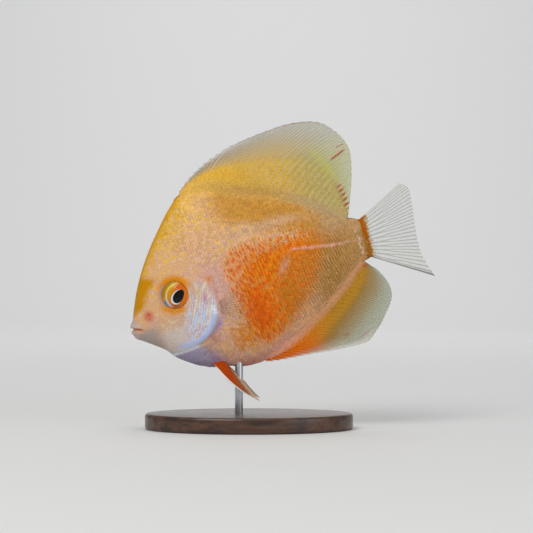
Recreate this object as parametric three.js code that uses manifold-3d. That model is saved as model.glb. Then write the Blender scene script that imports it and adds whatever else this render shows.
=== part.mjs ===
// A discus fish at life size, held in its swimming pose by a plain display stand.
//
// Units are millimetres and +Z is up. The fish has its own frame, in which x runs along the
// body from the mouth to the tail, y runs across it and z runs up the flank. The fish group
// tips that frame nose down. The left side of the fish faces -y, and its head points to -x.

import * as THREE from 'three';
import { mergeVertices } from 'three/addons/utils/BufferGeometryUtils.js';
import Module from 'manifold-3d';

const wasm = await Module();
wasm.setup();

// Driving sizes of the fish
const BODY_LENGTH = 125.4; // mouth to the end of the tail stalk
const NOSE = -0.5; // the front of the snout, behind the lips
const PITCH = THREE.MathUtils.degToRad(20.8); // nose down
const FISH_AT = new THREE.Vector3(-75.56, 0, 50.5); // the mouth, in the world
const GAP = 0.3; // between two nodes that meet

// Driving sizes of the stand
const BASE_LENGTH = 104;
const BASE_WIDTH = 64;
const BASE_HEIGHT = 8;
const BASE_BEVEL = 1.5;
const BASE_X = -17; // under the middle of the weight
const ROD_X = -22; // between the pelvic fins
const ROD_RADIUS = 2;
const ROD_SINK = 5; // how far the rod goes into the base
const ROD_TOP = 50; // inside the belly, before the rod is cut to it

// How fine the solids are
const RINGS = 42;
const SIDE_STEPS = 12;

// A smooth curve through [x, y] pairs that never swings past them
function curve(pairs) {
  const x = pairs.map((p) => p[0]);
  const y = pairs.map((p) => p[1]);
  const steps = pairs.slice(1).map((p, i) => (p[1] - y[i]) / (p[0] - x[i]));
  const slopes = pairs.map((p, i) => {
    if (i === 0) return steps[0];
    if (i === pairs.length - 1) return steps[i - 1];
    const before = steps[i - 1];
    const after = steps[i];
    return before * after <= 0 ? 0 : (2 * before * after) / (before + after);
  });
  return (at) => {
    const last = pairs.length - 2;
    let i = x.findIndex((value) => value > at) - 1;
    if (i < 0) i = at <= x[0] ? 0 : last;
    const span = x[i + 1] - x[i];
    const t = THREE.MathUtils.clamp((at - x[i]) / span, 0, 1);
    const s = 1 - t;
    return y[i] * s * s * (1 + 2 * t) + y[i + 1] * t * t * (3 - 2 * t)
      + span * t * s * (slopes[i] * s - slopes[i + 1] * t);
  };
}

// Outline of the flesh from the side, and its half width from above
const backLine = curve([
  [-0.5, -1.0], [0, 1.6], [1.4, 3.0], [4.1, 8.1], [9.1, 16.9], [15, 25.3], [22.6, 34.2],
  [30.4, 41.9], [38, 48.8], [44.5, 53.1], [50.5, 54.3], [57, 52.9], [66, 49], [78, 43.4],
  [90, 37.6], [102.5, 29], [111, 21.8], [119, 13.9], [125.4, 10.6],
]);
const bellyLine = curve([
  [-0.5, -2.4], [-0.2, -5.2], [2.8, -8], [7.3, -11.9], [12.6, -17], [14.4, -20.1],
  [18.5, -24.4], [24.7, -29.2], [30.5, -32.4], [40.6, -35.6], [48.1, -38], [54.2, -38.9],
  [61.6, -37.8], [70.6, -35.1], [80, -31.7], [89.5, -27.6], [99.4, -22.8], [108.3, -17.6],
  [116, -12.4], [121.6, -9.6], [125.4, -8.9],
]);
const halfWidth = curve([
  [-0.5, 0.5], [0, 2.6], [1.4, 3.9], [4.1, 5.1], [9.1, 7], [15, 8.7], [22.6, 10.1],
  [30.4, 11.2], [38, 11.9], [46, 12.1], [56, 11.8], [66, 11], [78, 9.7], [90, 8],
  [102.5, 5.9], [111, 4.4], [119, 3.2], [125.4, 2.3],
]);

// The section of the flesh is an oval at the snout and a lens along the trunk
const sectionPower = curve([[-0.5, 0.5], [12, 0.6], [30, 0.78], [50, 0.9], [125.4, 0.8]]);
const ridgeWidth = curve([[-0.5, 0.3], [8, 2.2], [30, 2.4], [60, 1.7], [125.4, 1.2]]);
const WIDEST = 0.47; // height of the widest place, as a share of the depth

// The gill cover is a plate whose rear edge is an arc about one point on the cheek
const GILL_CENTRE = [26.5, -1];
const GILL_RADIUS = 18.4;
const GILL_LIFT = 0.7; // how far its rear edge stands off the flank
const GILL_FLAT = 6; // radius within which the plate lies level with the cheek
const PLATE_DEPTH = 1.3;

function section(a) {
  const top = backLine(a);
  const bottom = bellyLine(a);
  const middle = bottom + WIDEST * (top - bottom);
  return { top, bottom, middle, half: halfWidth(a), power: sectionPower(a) };
}

function gillLift(a, b) {
  const reach = Math.hypot(a - GILL_CENTRE[0], b - GILL_CENTRE[1]);
  return GILL_LIFT * THREE.MathUtils.smoothstep(reach, GILL_FLAT, GILL_RADIUS);
}

// Half width of the flesh at height share t, from -1 at the belly to 1 at the back
function widthAt(a, t, half, power) {
  const ridge = Math.min(ridgeWidth(a), half * 0.6);
  const round = Math.max(0, 1 - t * t);
  return (half - ridge) * Math.pow(round, power) + ridge * Math.sqrt(round);
}

// Half width of the flesh at the point (a, b) of the side view
function sideAt(a, b) {
  const s = section(a);
  const t = b > s.middle ? (b - s.middle) / (s.top - s.middle)
    : (b - s.middle) / (s.middle - s.bottom);
  return widthAt(a, THREE.MathUtils.clamp(t, -1, 1), s.half, s.power);
}

// One ring of the flesh, made larger or smaller by grow
function ring(a, grow, lifted) {
  const s = section(a);
  const points = [];
  const count = 2 * SIDE_STEPS;
  for (let i = 0; i < count; i += 1) {
    const angle = -Math.PI / 2 + (2 * Math.PI * i) / count;
    const t = Math.sin(angle);
    const b = t > 0 ? s.middle + t * (s.top + grow - s.middle)
      : s.middle + t * (s.middle - s.bottom + grow);
    const side = Math.cos(angle) < -1e-9 ? -1 : 1;
    const lift = lifted ? gillLift(a, b) : 0;
    const y = i % SIDE_STEPS === 0 ? 0
      : side * (widthAt(a, t, s.half + grow, s.power) + lift * Math.abs(Math.cos(angle)));
    points.push(new THREE.Vector3(a, y, b));
  }
  return points;
}

// Turns a geometry inside out where its faces look inward
function faceOutward(geometry) {
  const p = geometry.attributes.position;
  const index = geometry.index.array;
  const [v0, v1, v2] = [new THREE.Vector3(), new THREE.Vector3(), new THREE.Vector3()];
  let volume = 0;
  for (let i = 0; i < index.length; i += 3) {
    v0.fromBufferAttribute(p, index[i]);
    v1.fromBufferAttribute(p, index[i + 1]);
    v2.fromBufferAttribute(p, index[i + 2]);
    volume += v0.dot(v1.cross(v2));
  }
  if (volume < 0) {
    for (let i = 0; i < index.length; i += 3) {
      [index[i], index[i + 1]] = [index[i + 1], index[i]];
    }
  }
  return geometry;
}

function geometryFrom(points, faces) {
  const geometry = new THREE.BufferGeometry();
  const flat = points.flatMap((p) => [p.x, p.y, p.z]);
  geometry.setAttribute('position', new THREE.Float32BufferAttribute(flat, 3));
  geometry.setIndex(faces.flat());
  return faceOutward(geometry);
}

// A closed skin over a row of rings, with a fan at each end
function loft(rings) {
  const count = rings[0].length;
  const points = rings.flat();
  const faces = [];
  for (let r = 0; r + 1 < rings.length; r += 1) {
    for (let i = 0; i < count; i += 1) {
      const next = (i + 1) % count;
      const [p, q] = [r * count + i, r * count + next];
      faces.push([p, q, q + count], [p, q + count, p + count]);
    }
  }
  for (const end of [0, rings.length - 1]) {
    const hub = points.length;
    const centre = new THREE.Vector3();
    rings[end].forEach((p) => centre.addScaledVector(p, 1 / count));
    points.push(centre);
    for (let i = 0; i < count; i += 1) {
      const [p, q] = [end * count + i, end * count + ((i + 1) % count)];
      faces.push(end === 0 ? [hub, q, p] : [hub, p, q]);
    }
  }
  return geometryFrom(points, faces);
}

// Solids that can be joined and cut
function solid(geometry) {
  const bare = geometry.clone();
  bare.deleteAttribute('normal');
  bare.deleteAttribute('uv');
  const merged = mergeVertices(bare, 1e-4);
  return new wasm.Manifold(new wasm.Mesh({
    numProp: 3,
    vertProperties: new Float32Array(merged.attributes.position.array),
    triVerts: new Uint32Array(merged.index.array),
  }));
}

// The geometry of the largest closed piece of a solid
function geometryOf(manifold) {
  const pieces = manifold.decompose().sort((p, q) => q.volume() - p.volume());
  const mesh = pieces[0].getMesh();
  const geometry = new THREE.BufferGeometry();
  geometry.setAttribute('position', new THREE.Float32BufferAttribute(mesh.vertProperties, 3));
  geometry.setIndex(Array.from(mesh.triVerts));
  geometry.computeVertexNormals();
  return geometry;
}

// The whole flesh: head, trunk and tail stalk
function flesh(grow, lifted) {
  const rings = [];
  for (let r = 0; r <= RINGS; r += 1) {
    const share = Math.pow(r / RINGS, 1.35);
    const a = NOSE + (BODY_LENGTH - NOSE) * share;
    rings.push(ring(a, grow, lifted));
  }
  const first = rings[0].map((p) => p.clone().setX(p.x - grow));
  const last = rings[RINGS].map((p) => p.clone().setX(p.x + grow));
  return solid(loft([first, ...rings.slice(1, RINGS), last]));
}

// A straight-sided block over an outline of the side view, from y0 to y1
function block(outline, y0, y1) {
  const shape = new THREE.Shape(outline.map(([a, b]) => new THREE.Vector2(a, b)));
  const geometry = new THREE.ExtrudeGeometry(shape, { depth: y1 - y0, bevelEnabled: false });
  geometry.rotateX(Math.PI / 2);
  geometry.translate(0, y1, 0);
  return solid(geometry);
}

// The line that parts head and trunk runs down behind the nape, round the gill cover and
// forward to the throat
const FAR = 200;
const THROAT = [12.9, -18];
function partingLine(shift) {
  const line = [[43, FAR], [44.6 + shift, 38], [45.4 + shift, 21.7], [44.4 + shift, 11]];
  const radius = GILL_RADIUS + shift;
  for (let degrees = 28; degrees >= -92; degrees -= 10) {
    const angle = THREE.MathUtils.degToRad(degrees);
    line.push([
      GILL_CENTRE[0] + radius * Math.cos(angle),
      GILL_CENTRE[1] + radius * Math.sin(angle),
    ]);
  }
  line.push([THROAT[0] + 5, THROAT[1] - 1.4 - shift], [THROAT[0], THROAT[1] - shift]);
  return line;
}
const headSide = (shift) => [...partingLine(shift), [-FAR, THROAT[1] - shift], [-FAR, FAR]];

// The front edge of the gill cover runs down the cheek
const CHEEK_LINE = [[13.6, -15.6], [20.9, -12], [26.9, -5.4], [31.8, 1.8], [35.6, 9.6]];
function gillOutline() {
  const rear = partingLine(-GAP / 2).slice(4, -1);
  return [[37.4, 12.8], [40.8, 13.2], ...rear, ...CHEEK_LINE];
}

// An outline made larger all round; it runs clockwise in the side view
function widened(outline, by) {
  const count = outline.length;
  return outline.map(([a, b], i) => {
    const before = outline[(i + count - 1) % count];
    const after = outline[(i + 1) % count];
    const along = new THREE.Vector2(after[0] - before[0], after[1] - before[1]).normalize();
    return [a - along.y * by, b + along.x * by];
  });
}

// Rays of a fin, spread evenly between a few key rays. A key ray gives the place of its root
// and of its tip in the side view.
function spreadRays(count, keys) {
  const asCurve = (pick) => new THREE.SplineCurve(keys.map((k) => new THREE.Vector2(...pick(k))));
  const roots = asCurve((k) => k.root);
  const tips = asCurve((k) => k.tip);
  return Array.from({ length: count }, (unused, i) => {
    const share = i / (count - 1);
    return { root: roots.getPoint(share), tip: tips.getPoint(share) };
  });
}

// A fin: a thin sheet with a ridge on both faces along each ray. The bend is the bow of a ray
// as a share of its length. The notch is how far the membrane stops short of the ray tips.
// The place gives the y of the middle of the sheet, and the flesh thickens the root.
function fin({ rays, rows, bend, notch, ridge, web, fleshy, fleshyShare, place }) {
  const columns = [];
  rays.forEach((ray, i) => {
    columns.push({ ...ray, half: ridge, share: i / rays.length });
    if (i + 1 < rays.length) {
      const next = rays[i + 1];
      const root = ray.root.clone().lerp(next.root, 0.5);
      const tip = ray.tip.clone().lerp(next.tip, 0.5);
      const short = Math.min(notch(i), 0.4 * root.distanceTo(tip));
      tip.add(root.clone().sub(tip).setLength(short));
      columns.push({ root, tip, half: web, share: (i + 0.5) / rays.length });
    }
  });
  const left = [];
  const right = [];
  for (const column of columns) {
    const along = column.tip.clone().sub(column.root);
    const bow = new THREE.Vector2(-along.y, along.x).multiplyScalar(bend);
    for (let j = 0; j <= rows; j += 1) {
      const v = j / rows;
      const at = column.root.clone().addScaledVector(along, v)
        .addScaledVector(bow, 4 * v * (1 - v));
      const thin = THREE.MathUtils.lerp(1, 0.62, v);
      const thick = fleshy * Math.pow(Math.max(0, 1 - v / fleshyShare), 1.4);
      const half = column.half * thin + thick;
      const y = place(at.x, at.y, v);
      left.push(new THREE.Vector3(at.x, y - half, at.y));
      right.push(new THREE.Vector3(at.x, y + half, at.y));
    }
  }
  const points = [...left, ...right];
  const other = left.length;
  const line = rows + 1;
  const faces = [];
  const quad = (p, q, r, s) => faces.push([p, q, r], [p, r, s]);
  for (let c = 0; c + 1 < columns.length; c += 1) {
    for (let j = 0; j < rows; j += 1) {
      const p = c * line + j;
      quad(p, p + 1, p + line + 1, p + line);
      faces.push([p + other, p + other + line + 1, p + other + 1]);
      faces.push([p + other, p + other + line, p + other + line + 1]);
    }
    const root = c * line;
    const tip = root + rows;
    quad(root, root + line, root + line + other, root + other);
    quad(tip, tip + other, tip + line + other, tip + line);
  }
  for (let j = 0; j < rows; j += 1) {
    const end = (columns.length - 1) * line + j;
    quad(j, j + other, j + 1 + other, j + 1);
    quad(end, end + 1, end + 1 + other, end + other);
  }
  return solid(geometryFrom(points, faces));
}

// Every root starts a little inside the flesh and is cut back to it afterwards
const ROOT_DEPTH = 2.4;
const onBack = (a) => [a, backLine(a) - ROOT_DEPTH];
const onBelly = (a) => [a, bellyLine(a) + ROOT_DEPTH];

// Dorsal fin: nine spines in front, then soft rays that lie back over the tail
const DORSAL_SPINES = 9;
const DORSAL_RAYS = 38;
const DORSAL_KEYS = [
  { root: onBack(45), tip: [47, 56.1] },
  { root: onBack(48), tip: [55, 60.9] },
  { root: onBack(51.5), tip: [66, 65.2] },
  { root: onBack(56.5), tip: [79, 67.7] },
  { root: onBack(63), tip: [95, 68.4] },
  { root: onBack(71), tip: [111, 67.6] },
  { root: onBack(79.5), tip: [124, 63.2] },
  { root: onBack(88.5), tip: [131.2, 54] },
  { root: onBack(98), tip: [133.5, 45] },
  { root: onBack(106.5), tip: [131, 35] },
  { root: onBack(113.5), tip: [127.2, 26] },
  { root: onBack(119.5), tip: [121.5, 14.6] },
];

// Anal fin: the mirror of the dorsal fin, with a more even fan
const ANAL_SPINES = 7;
const ANAL_RAYS = 36;
const ANAL_KEYS = [
  { root: onBelly(54.6), tip: [57.5, -40.1] },
  { root: onBelly(57), tip: [66, -41.9] },
  { root: onBelly(60.5), tip: [77, -43.7] },
  { root: onBelly(65), tip: [89, -45.9] },
  { root: onBelly(70.6), tip: [99.5, -47.6] },
  { root: onBelly(76), tip: [108, -48.2] },
  { root: onBelly(82.5), tip: [113.5, -45] },
  { root: onBelly(90), tip: [118.4, -41.3] },
  { root: onBelly(97.5), tip: [122, -37.8] },
  { root: onBelly(104), tip: [125.4, -34.3] },
  { root: onBelly(110), tip: [127.8, -30] },
  { root: onBelly(114), tip: [127.9, -24] },
  { root: onBelly(117), tip: [125.3, -16.6] },
  { root: onBelly(119.5), tip: [121.4, -11.8] },
];

// Tail fin: a broad fan behind the tail stalk
const TAIL_RAYS = 15;
const TAIL_KEYS = [
  { root: [122.8, 9.4], tip: [151.4, 20.3] },
  { root: [122.8, 7], tip: [154.6, 16.5] },
  { root: [122.8, 4.2], tip: [153.4, 8] },
  { root: [122.8, 1], tip: [151.6, 0] },
  { root: [122.8, -2.2], tip: [149.8, -9.5] },
  { root: [122.8, -5.2], tip: [149.2, -18.5] },
  { root: [122.8, -7.9], tip: [151.4, -29.9] },
];

// Pectoral fins: clear fans that spread from behind the gill covers
const PECTORAL_RAYS = 12;
const PECTORAL_BASE = [46.2, -5.6];
const PECTORAL_SUNK = 0.4;
const PECTORAL_SPLAY = 0.62; // how far it spreads outward for each millimetre backward
const PECTORAL_KEYS = [
  { root: [45.8, -3.4], tip: [59.5, 1.4] },
  { root: [45.8, -4.4], tip: [62.6, -3.6] },
  { root: [45.7, -5.4], tip: [64.2, -9.4] },
  { root: [45.5, -6.4], tip: [63.6, -15.2] },
  { root: [45.2, -7.4], tip: [60.6, -20] },
  { root: [44.9, -8.2], tip: [55.4, -22.4] },
];

// Pelvic fins: narrow blades that trail below the belly
const PELVIC_RAYS = 6;
const PELVIC_BASE = [34, -32];
const PELVIC_SIDE = 2.6;
const PELVIC_SPLAY = 0.31; // how far it spreads outward for each millimetre downward
const PELVIC_KEYS = [
  { root: [31.6, -30.2], tip: [41.2, -49.9] },
  { root: [32.8, -30.4], tip: [47.1, -56.2] },
  { root: [34, -30.7], tip: [45.4, -51.6] },
  { root: [35.2, -31], tip: [43.6, -46.4] },
  { root: [36.4, -31.4], tip: [41.6, -41.4] },
  { root: [37.6, -31.8], tip: [39.8, -37.4] },
];

// Half thickness of ray ridges and of the membrane between them
const RIDGE = 0.5;
const WEB = 0.3;

const stirRear = (a, v) => 1.5 * v * v * Math.sin((a - 60) / 26);
const dorsal = fin({
  rays: spreadRays(DORSAL_RAYS, DORSAL_KEYS),
  rows: 8,
  bend: 0.07,
  notch: (i) => (i < DORSAL_SPINES ? 1.1 : 0.35),
  ridge: RIDGE,
  web: WEB,
  fleshy: 1.1,
  fleshyShare: 0.6,
  place: (a, b, v) => stirRear(a, v),
});
const anal = fin({
  rays: spreadRays(ANAL_RAYS, ANAL_KEYS),
  rows: 7,
  bend: 0.04,
  notch: (i) => (i < ANAL_SPINES ? 0.8 : 0.35),
  ridge: RIDGE,
  web: WEB,
  fleshy: 1.0,
  fleshyShare: 0.5,
  place: (a, b, v) => -stirRear(a, v),
});
const tail = fin({
  rays: spreadRays(TAIL_RAYS, TAIL_KEYS),
  rows: 8,
  bend: 0,
  notch: () => 0.6,
  ridge: 0.55,
  web: WEB,
  fleshy: 1.0,
  fleshyShare: 0.3,
  place: (a, b, v) => 2.2 * v * v,
});

// The fins of a pair differ only in the side they stand on
function pectoral(side) {
  const foot = sideAt(...PECTORAL_BASE) - PECTORAL_SUNK;
  return fin({
    rays: spreadRays(PECTORAL_RAYS, PECTORAL_KEYS),
    rows: 6,
    bend: 0.03,
    notch: () => 0.5,
    ridge: 0.45,
    web: 0.27,
    fleshy: 0.9,
    fleshyShare: 0.35,
    place: (a) => side * (foot + PECTORAL_SPLAY * (a - PECTORAL_BASE[0])),
  });
}
function pelvic(side) {
  return fin({
    rays: spreadRays(PELVIC_RAYS, PELVIC_KEYS),
    rows: 7,
    bend: -0.05,
    notch: () => 0.9,
    ridge: 0.55,
    web: WEB,
    fleshy: 0.9,
    fleshyShare: 0.35,
    place: (a, b) => side * (PELVIC_SIDE + PELVIC_SPLAY * (PELVIC_BASE[1] - b)),
  });
}

// A round bar of changing radius along a list of places
function bar(places, radii, around) {
  const path = new THREE.CatmullRomCurve3(places);
  const rings = radii.map((radius, i) => {
    const share = i / (radii.length - 1);
    const at = path.getPoint(share);
    const ahead = path.getTangent(share);
    const across = new THREE.Vector3(0, 0, 1);
    const out = new THREE.Vector3().crossVectors(ahead, across).normalize();
    return Array.from({ length: around }, (unused, k) => {
      const angle = (2 * Math.PI * k) / around;
      return at.clone().addScaledVector(out, radius * Math.cos(angle))
        .addScaledVector(across, radius * Math.sin(angle));
    });
  });
  return solid(loft(rings));
}

// Lips: two soft bars that meet at the corners of the mouth
const MOUTH_CORNER = [5.2, -3];
const MOUTH_HALF = 4.9;
const MOUTH_SLOPE = -0.46; // the mouth line drops this much for each millimetre backward
function lip(front, height, thickness) {
  const reach = MOUTH_CORNER[0] - front;
  const places = [];
  for (let degrees = -90; degrees <= 90; degrees += 15) {
    const angle = THREE.MathUtils.degToRad(degrees);
    const a = MOUTH_CORNER[0] - reach * Math.cos(angle);
    const b = height + MOUTH_SLOPE * (a - front) * (height > -1 ? 1 : 0.2);
    places.push(new THREE.Vector3(a, MOUTH_HALF * Math.sin(angle), b));
  }
  const radii = Array.from({ length: 13 }, (unused, i) => {
    const share = Math.sin((Math.PI * i) / 12);
    return thickness * (0.45 + 0.55 * share);
  });
  return bar(places, radii, 8);
}
const upperLip = lip(0.3, 0.8, 1.1);
const lowerLip = lip(0.7, -3.1, 1.5);
const mouthSlit = block([[-3, 0], [-3, -1.5], [0.5, -1.5], [5, -2.9], [0.5, -0.5]], -8, 8);

// Eyes: flat balls in sockets, each with a soft rim, turned to lie in the cheek
const EYE_AT = [26.3, 7.7];
const EYE_RADIUS = 8.3;
const EYE_DEPTH = 5.4;
const EYE_SUNK = 3.3; // the widest part of the eye lies this far under the cheek
const RIM_RADIUS = 7.3;
const RIM_THICK = 0.85;
function eyeFrame(side) {
  const step = 2;
  const [a, b] = EYE_AT;
  const alongA = (sideAt(a + step, b) - sideAt(a - step, b)) / (2 * step);
  const alongB = (sideAt(a, b + step) - sideAt(a, b - step)) / (2 * step);
  const out = new THREE.Vector3(-alongA, 1, -alongB).normalize();
  out.y *= side;
  const turn = new THREE.Quaternion().setFromUnitVectors(new THREE.Vector3(0, 1, 0), out);
  const surface = new THREE.Vector3(a, side * sideAt(a, b), b);
  return { out, turn, surface };
}
function eyeBall(side, grow) {
  const { out, turn, surface } = eyeFrame(side);
  const ball = new THREE.SphereGeometry(1, 20, 10);
  ball.scale(EYE_RADIUS + grow, EYE_DEPTH + grow, EYE_RADIUS + grow);
  ball.applyQuaternion(turn);
  ball.translate(...surface.clone().addScaledVector(out, -EYE_SUNK).toArray());
  return solid(ball);
}
function eyeRim(side) {
  const { turn, surface } = eyeFrame(side);
  const ringShape = new THREE.TorusGeometry(RIM_RADIUS, RIM_THICK, 6, 22);
  ringShape.rotateX(Math.PI / 2);
  ringShape.applyQuaternion(turn);
  ringShape.translate(...surface.toArray());
  return solid(ringShape);
}

// Nostrils: one small pit on each side of the snout
const NOSTRIL_AT = [10.5, 3];
const NOSTRIL_RADIUS = 0.9;
function nostril(side) {
  const pit = new THREE.SphereGeometry(NOSTRIL_RADIUS, 8, 6);
  pit.translate(NOSTRIL_AT[0], side * (sideAt(...NOSTRIL_AT) + 0.2), NOSTRIL_AT[1]);
  return solid(pit);
}

const bare = flesh(0, false);
const plated = flesh(0, true);
const inner = flesh(-PLATE_DEPTH, false);
const innerCut = flesh(-PLATE_DEPTH - GAP, false);
const clearOf = flesh(GAP, false);
const STALK_START = 113;
const ahead = block([[-FAR, -FAR], [STALK_START - GAP / 2, -FAR],
  [STALK_START - GAP / 2, FAR], [-FAR, FAR]], -FAR, FAR);
const behind = block([[STALK_START + GAP / 2, -FAR], [FAR, -FAR],
  [FAR, FAR], [STALK_START + GAP / 2, FAR]], -FAR, FAR);

// A gill cover is cut from the lifted flesh, and sits in a seat with a gap all round
const GILL_BLOCK = [2, 30]; // from y to y on the right side
function gillBlock(side, by) {
  const [near, far] = GILL_BLOCK;
  const outline = widened(gillOutline(), by);
  return side < 0 ? block(outline, -far, -near) : block(outline, near, far);
}
const gillRoom = (side) => gillBlock(side, GAP);
const gillSeat = (side) => gillRoom(side).subtract(innerCut);
function gillCover(side) {
  return plated.intersect(gillBlock(side, 0)).subtract(inner).subtract(eyeBall(side, GAP));
}

const LEFT = -1;
const RIGHT = 1;
const headBlock = block(headSide(-GAP / 2), -FAR, FAR);
const trunkCut = block(headSide(GAP / 2), -FAR, FAR);
let head = bare.intersect(headBlock);
head = head.add(upperLip).add(lowerLip).subtract(mouthSlit);
for (const side of [LEFT, RIGHT]) {
  head = head.add(eyeRim(side)).subtract(gillSeat(side));
  head = head.subtract(eyeBall(side, GAP)).subtract(nostril(side));
}
const trunk = bare.subtract(trunkCut).intersect(ahead);
const stalk = bare.intersect(behind);

// The scene: the fish in its own tipped frame, and the stand on the floor
const discus = new THREE.Group();
discus.name = 'discus_fish';
const fish = new THREE.Group();
fish.name = 'fish';
fish.position.copy(FISH_AT);
fish.rotation.y = -PITCH;
discus.add(fish);
const stand = new THREE.Group();
stand.name = 'stand';
discus.add(stand);

function show(parent, name, manifold, color, roughness, metalness = 0) {
  const material = new THREE.MeshStandardMaterial({ color, roughness, metalness });
  const mesh = new THREE.Mesh(geometryOf(manifold), material);
  mesh.name = name;
  parent.add(mesh);
  return mesh;
}

show(fish, 'head', head, '#e0a860', 0.4);
show(fish, 'body', trunk, '#e39a4a', 0.4);
show(fish, 'tail_stalk', stalk, '#e8b48c', 0.4);
show(fish, 'dorsal_fin', dorsal.subtract(clearOf), '#d8b070', 0.45);
show(fish, 'anal_fin', anal.subtract(clearOf), '#dc9a48', 0.45);
show(fish, 'tail_fin', tail.subtract(clearOf), '#c9cbb8', 0.4);
for (const [side, word] of [[LEFT, 'left'], [RIGHT, 'right']]) {
  show(fish, `gill_cover_${word}`, gillCover(side), '#d9cbd0', 0.35);
  show(fish, `eye_${word}`, eyeBall(side, 0), '#e08a20', 0.1);
  const clearPectoral = pectoral(side).subtract(clearOf).subtract(gillRoom(side));
  show(fish, `pectoral_fin_${word}`, clearPectoral, '#e6d8c0', 0.4);
  show(fish, `pelvic_fin_${word}`, pelvic(side).subtract(clearOf), '#e07028', 0.45);
}

// The rod rises from the base and is cut to the belly
fish.updateMatrixWorld(true);
const belly = clearOf.transform(fish.matrixWorld.toArray());
function upright(radius, from, to) {
  const post = new THREE.CylinderGeometry(radius, radius, to - from, 24);
  post.rotateX(Math.PI / 2);
  post.translate(ROD_X, 0, (from + to) / 2);
  return solid(post);
}
const rodFoot = BASE_HEIGHT - ROD_SINK;
const rod = upright(ROD_RADIUS, rodFoot, ROD_TOP).subtract(belly);
const oval = new THREE.Shape();
oval.absellipse(0, 0, BASE_LENGTH / 2 - BASE_BEVEL, BASE_WIDTH / 2 - BASE_BEVEL, 0, 2 * Math.PI);
const plate = new THREE.ExtrudeGeometry(oval, {
  depth: BASE_HEIGHT - 2 * BASE_BEVEL,
  bevelEnabled: true,
  bevelThickness: BASE_BEVEL,
  bevelSize: BASE_BEVEL,
  bevelSegments: 2,
  curveSegments: 28,
});
plate.translate(BASE_X, 0, BASE_BEVEL);
const socket = upright(ROD_RADIUS + GAP, rodFoot - GAP, BASE_HEIGHT + 1);
show(stand, 'stand_base', solid(plate).subtract(socket), '#3a2a20', 0.5);
show(stand, 'stand_rod', rod, '#b8bcc0', 0.25, 1);

export default discus;
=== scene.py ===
# %% [markdown]
# # A discus fish on a display stand
#
# A discus is as flat as a plate and nearly as tall as it is long. Its colours lie in the skin
# and the small scales over it: gold along the back, peach on the face, pale blue on the gill
# cover, and orange dashes on the flank. This lesson dresses a plain solid model of one.
# All sizes are in millimetres until a mesh is made, because Blender works in metres.

import math

import bpy
import numpy as np
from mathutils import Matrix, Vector


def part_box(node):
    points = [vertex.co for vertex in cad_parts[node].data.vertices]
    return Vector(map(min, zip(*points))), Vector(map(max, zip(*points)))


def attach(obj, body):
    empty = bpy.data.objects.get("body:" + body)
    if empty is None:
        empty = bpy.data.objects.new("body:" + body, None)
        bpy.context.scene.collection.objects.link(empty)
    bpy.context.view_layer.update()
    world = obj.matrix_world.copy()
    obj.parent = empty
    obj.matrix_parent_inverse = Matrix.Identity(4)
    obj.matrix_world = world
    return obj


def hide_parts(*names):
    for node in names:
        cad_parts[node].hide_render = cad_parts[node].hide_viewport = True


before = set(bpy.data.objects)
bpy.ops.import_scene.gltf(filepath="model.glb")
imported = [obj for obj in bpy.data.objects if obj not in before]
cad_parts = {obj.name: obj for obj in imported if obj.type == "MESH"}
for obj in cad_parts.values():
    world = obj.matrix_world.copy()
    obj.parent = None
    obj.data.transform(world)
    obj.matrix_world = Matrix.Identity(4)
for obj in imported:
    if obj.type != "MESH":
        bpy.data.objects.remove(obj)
bpy.ops.object.select_all(action="DESELECT")
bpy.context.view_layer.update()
scene = bpy.context.scene
MM = 0.001
print("solid pieces:", len(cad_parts))

# %% [markdown]
# ## The fish's own frame
#
# The fish swims nose down, so its length runs along no axis of the room. It is easier to
# measure in a frame of its own: a runs along the body from the mouth to the tail, b runs up
# the flank and y runs across. One function turns that frame into room coordinates.

# %% From the fish to the room
PITCH = math.radians(20.8)
MOUTH_X = -75.56
MOUTH_Z = 50.5


def to_room(a, y, b):
    """Room coordinates in metres of points of the fish's frame in millimetres."""
    x = MOUTH_X + a * math.cos(PITCH) - b * math.sin(PITCH)
    z = MOUTH_Z + a * math.sin(PITCH) + b * math.cos(PITCH)
    return np.stack([x, np.broadcast_to(y, x.shape), z], axis=-1) * MM


print("mouth in the room:", to_room(np.zeros(1), 0, np.zeros(1))[0])


# %% Curves, steps and hills
def curve(pairs):
    """A smooth curve through (x, y) pairs that never swings past them."""
    x, y = np.array(pairs, float).T
    step = np.diff(y) / np.diff(x)
    slope = np.zeros(len(x))
    slope[0], slope[-1] = step[0], step[-1]
    before, after = step[:-1], step[1:]
    same = before * after > 0
    total = np.where(same, before + after, 1)
    slope[1:-1] = np.where(same, 2 * before * after / total, 0)

    def at(value):
        value = np.asarray(value, float)
        i = np.clip(np.searchsorted(x, value, side="right") - 1, 0, len(x) - 2)
        span = x[i + 1] - x[i]
        t = np.clip((value - x[i]) / span, 0, 1)
        s = 1 - t
        ends = y[i] * s * s * (1 + 2 * t) + y[i + 1] * t * t * (3 - 2 * t)
        return ends + span * t * s * (slope[i] * s - slope[i + 1] * t)

    return at


def smooth(value, low, high):
    """0 below low, 1 above high and a soft step between; low may be the larger."""
    t = np.clip((np.asarray(value, float) - low) / (high - low), 0, 1)
    return t * t * (3 - 2 * t)


def bump(value, at, width):
    """A round hill of height 1 about a place."""
    return np.exp(-(((value - at) / width) ** 2))


# %% [markdown]
# ## The shape of the flesh
#
# The solid model gives the flesh as a row of cross sections. The looks need the same shape in
# far finer steps, so the same curves are used here: the line of the back, the line of the
# belly and the half width from above. Each section is an oval at the snout and a lens behind.

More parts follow.
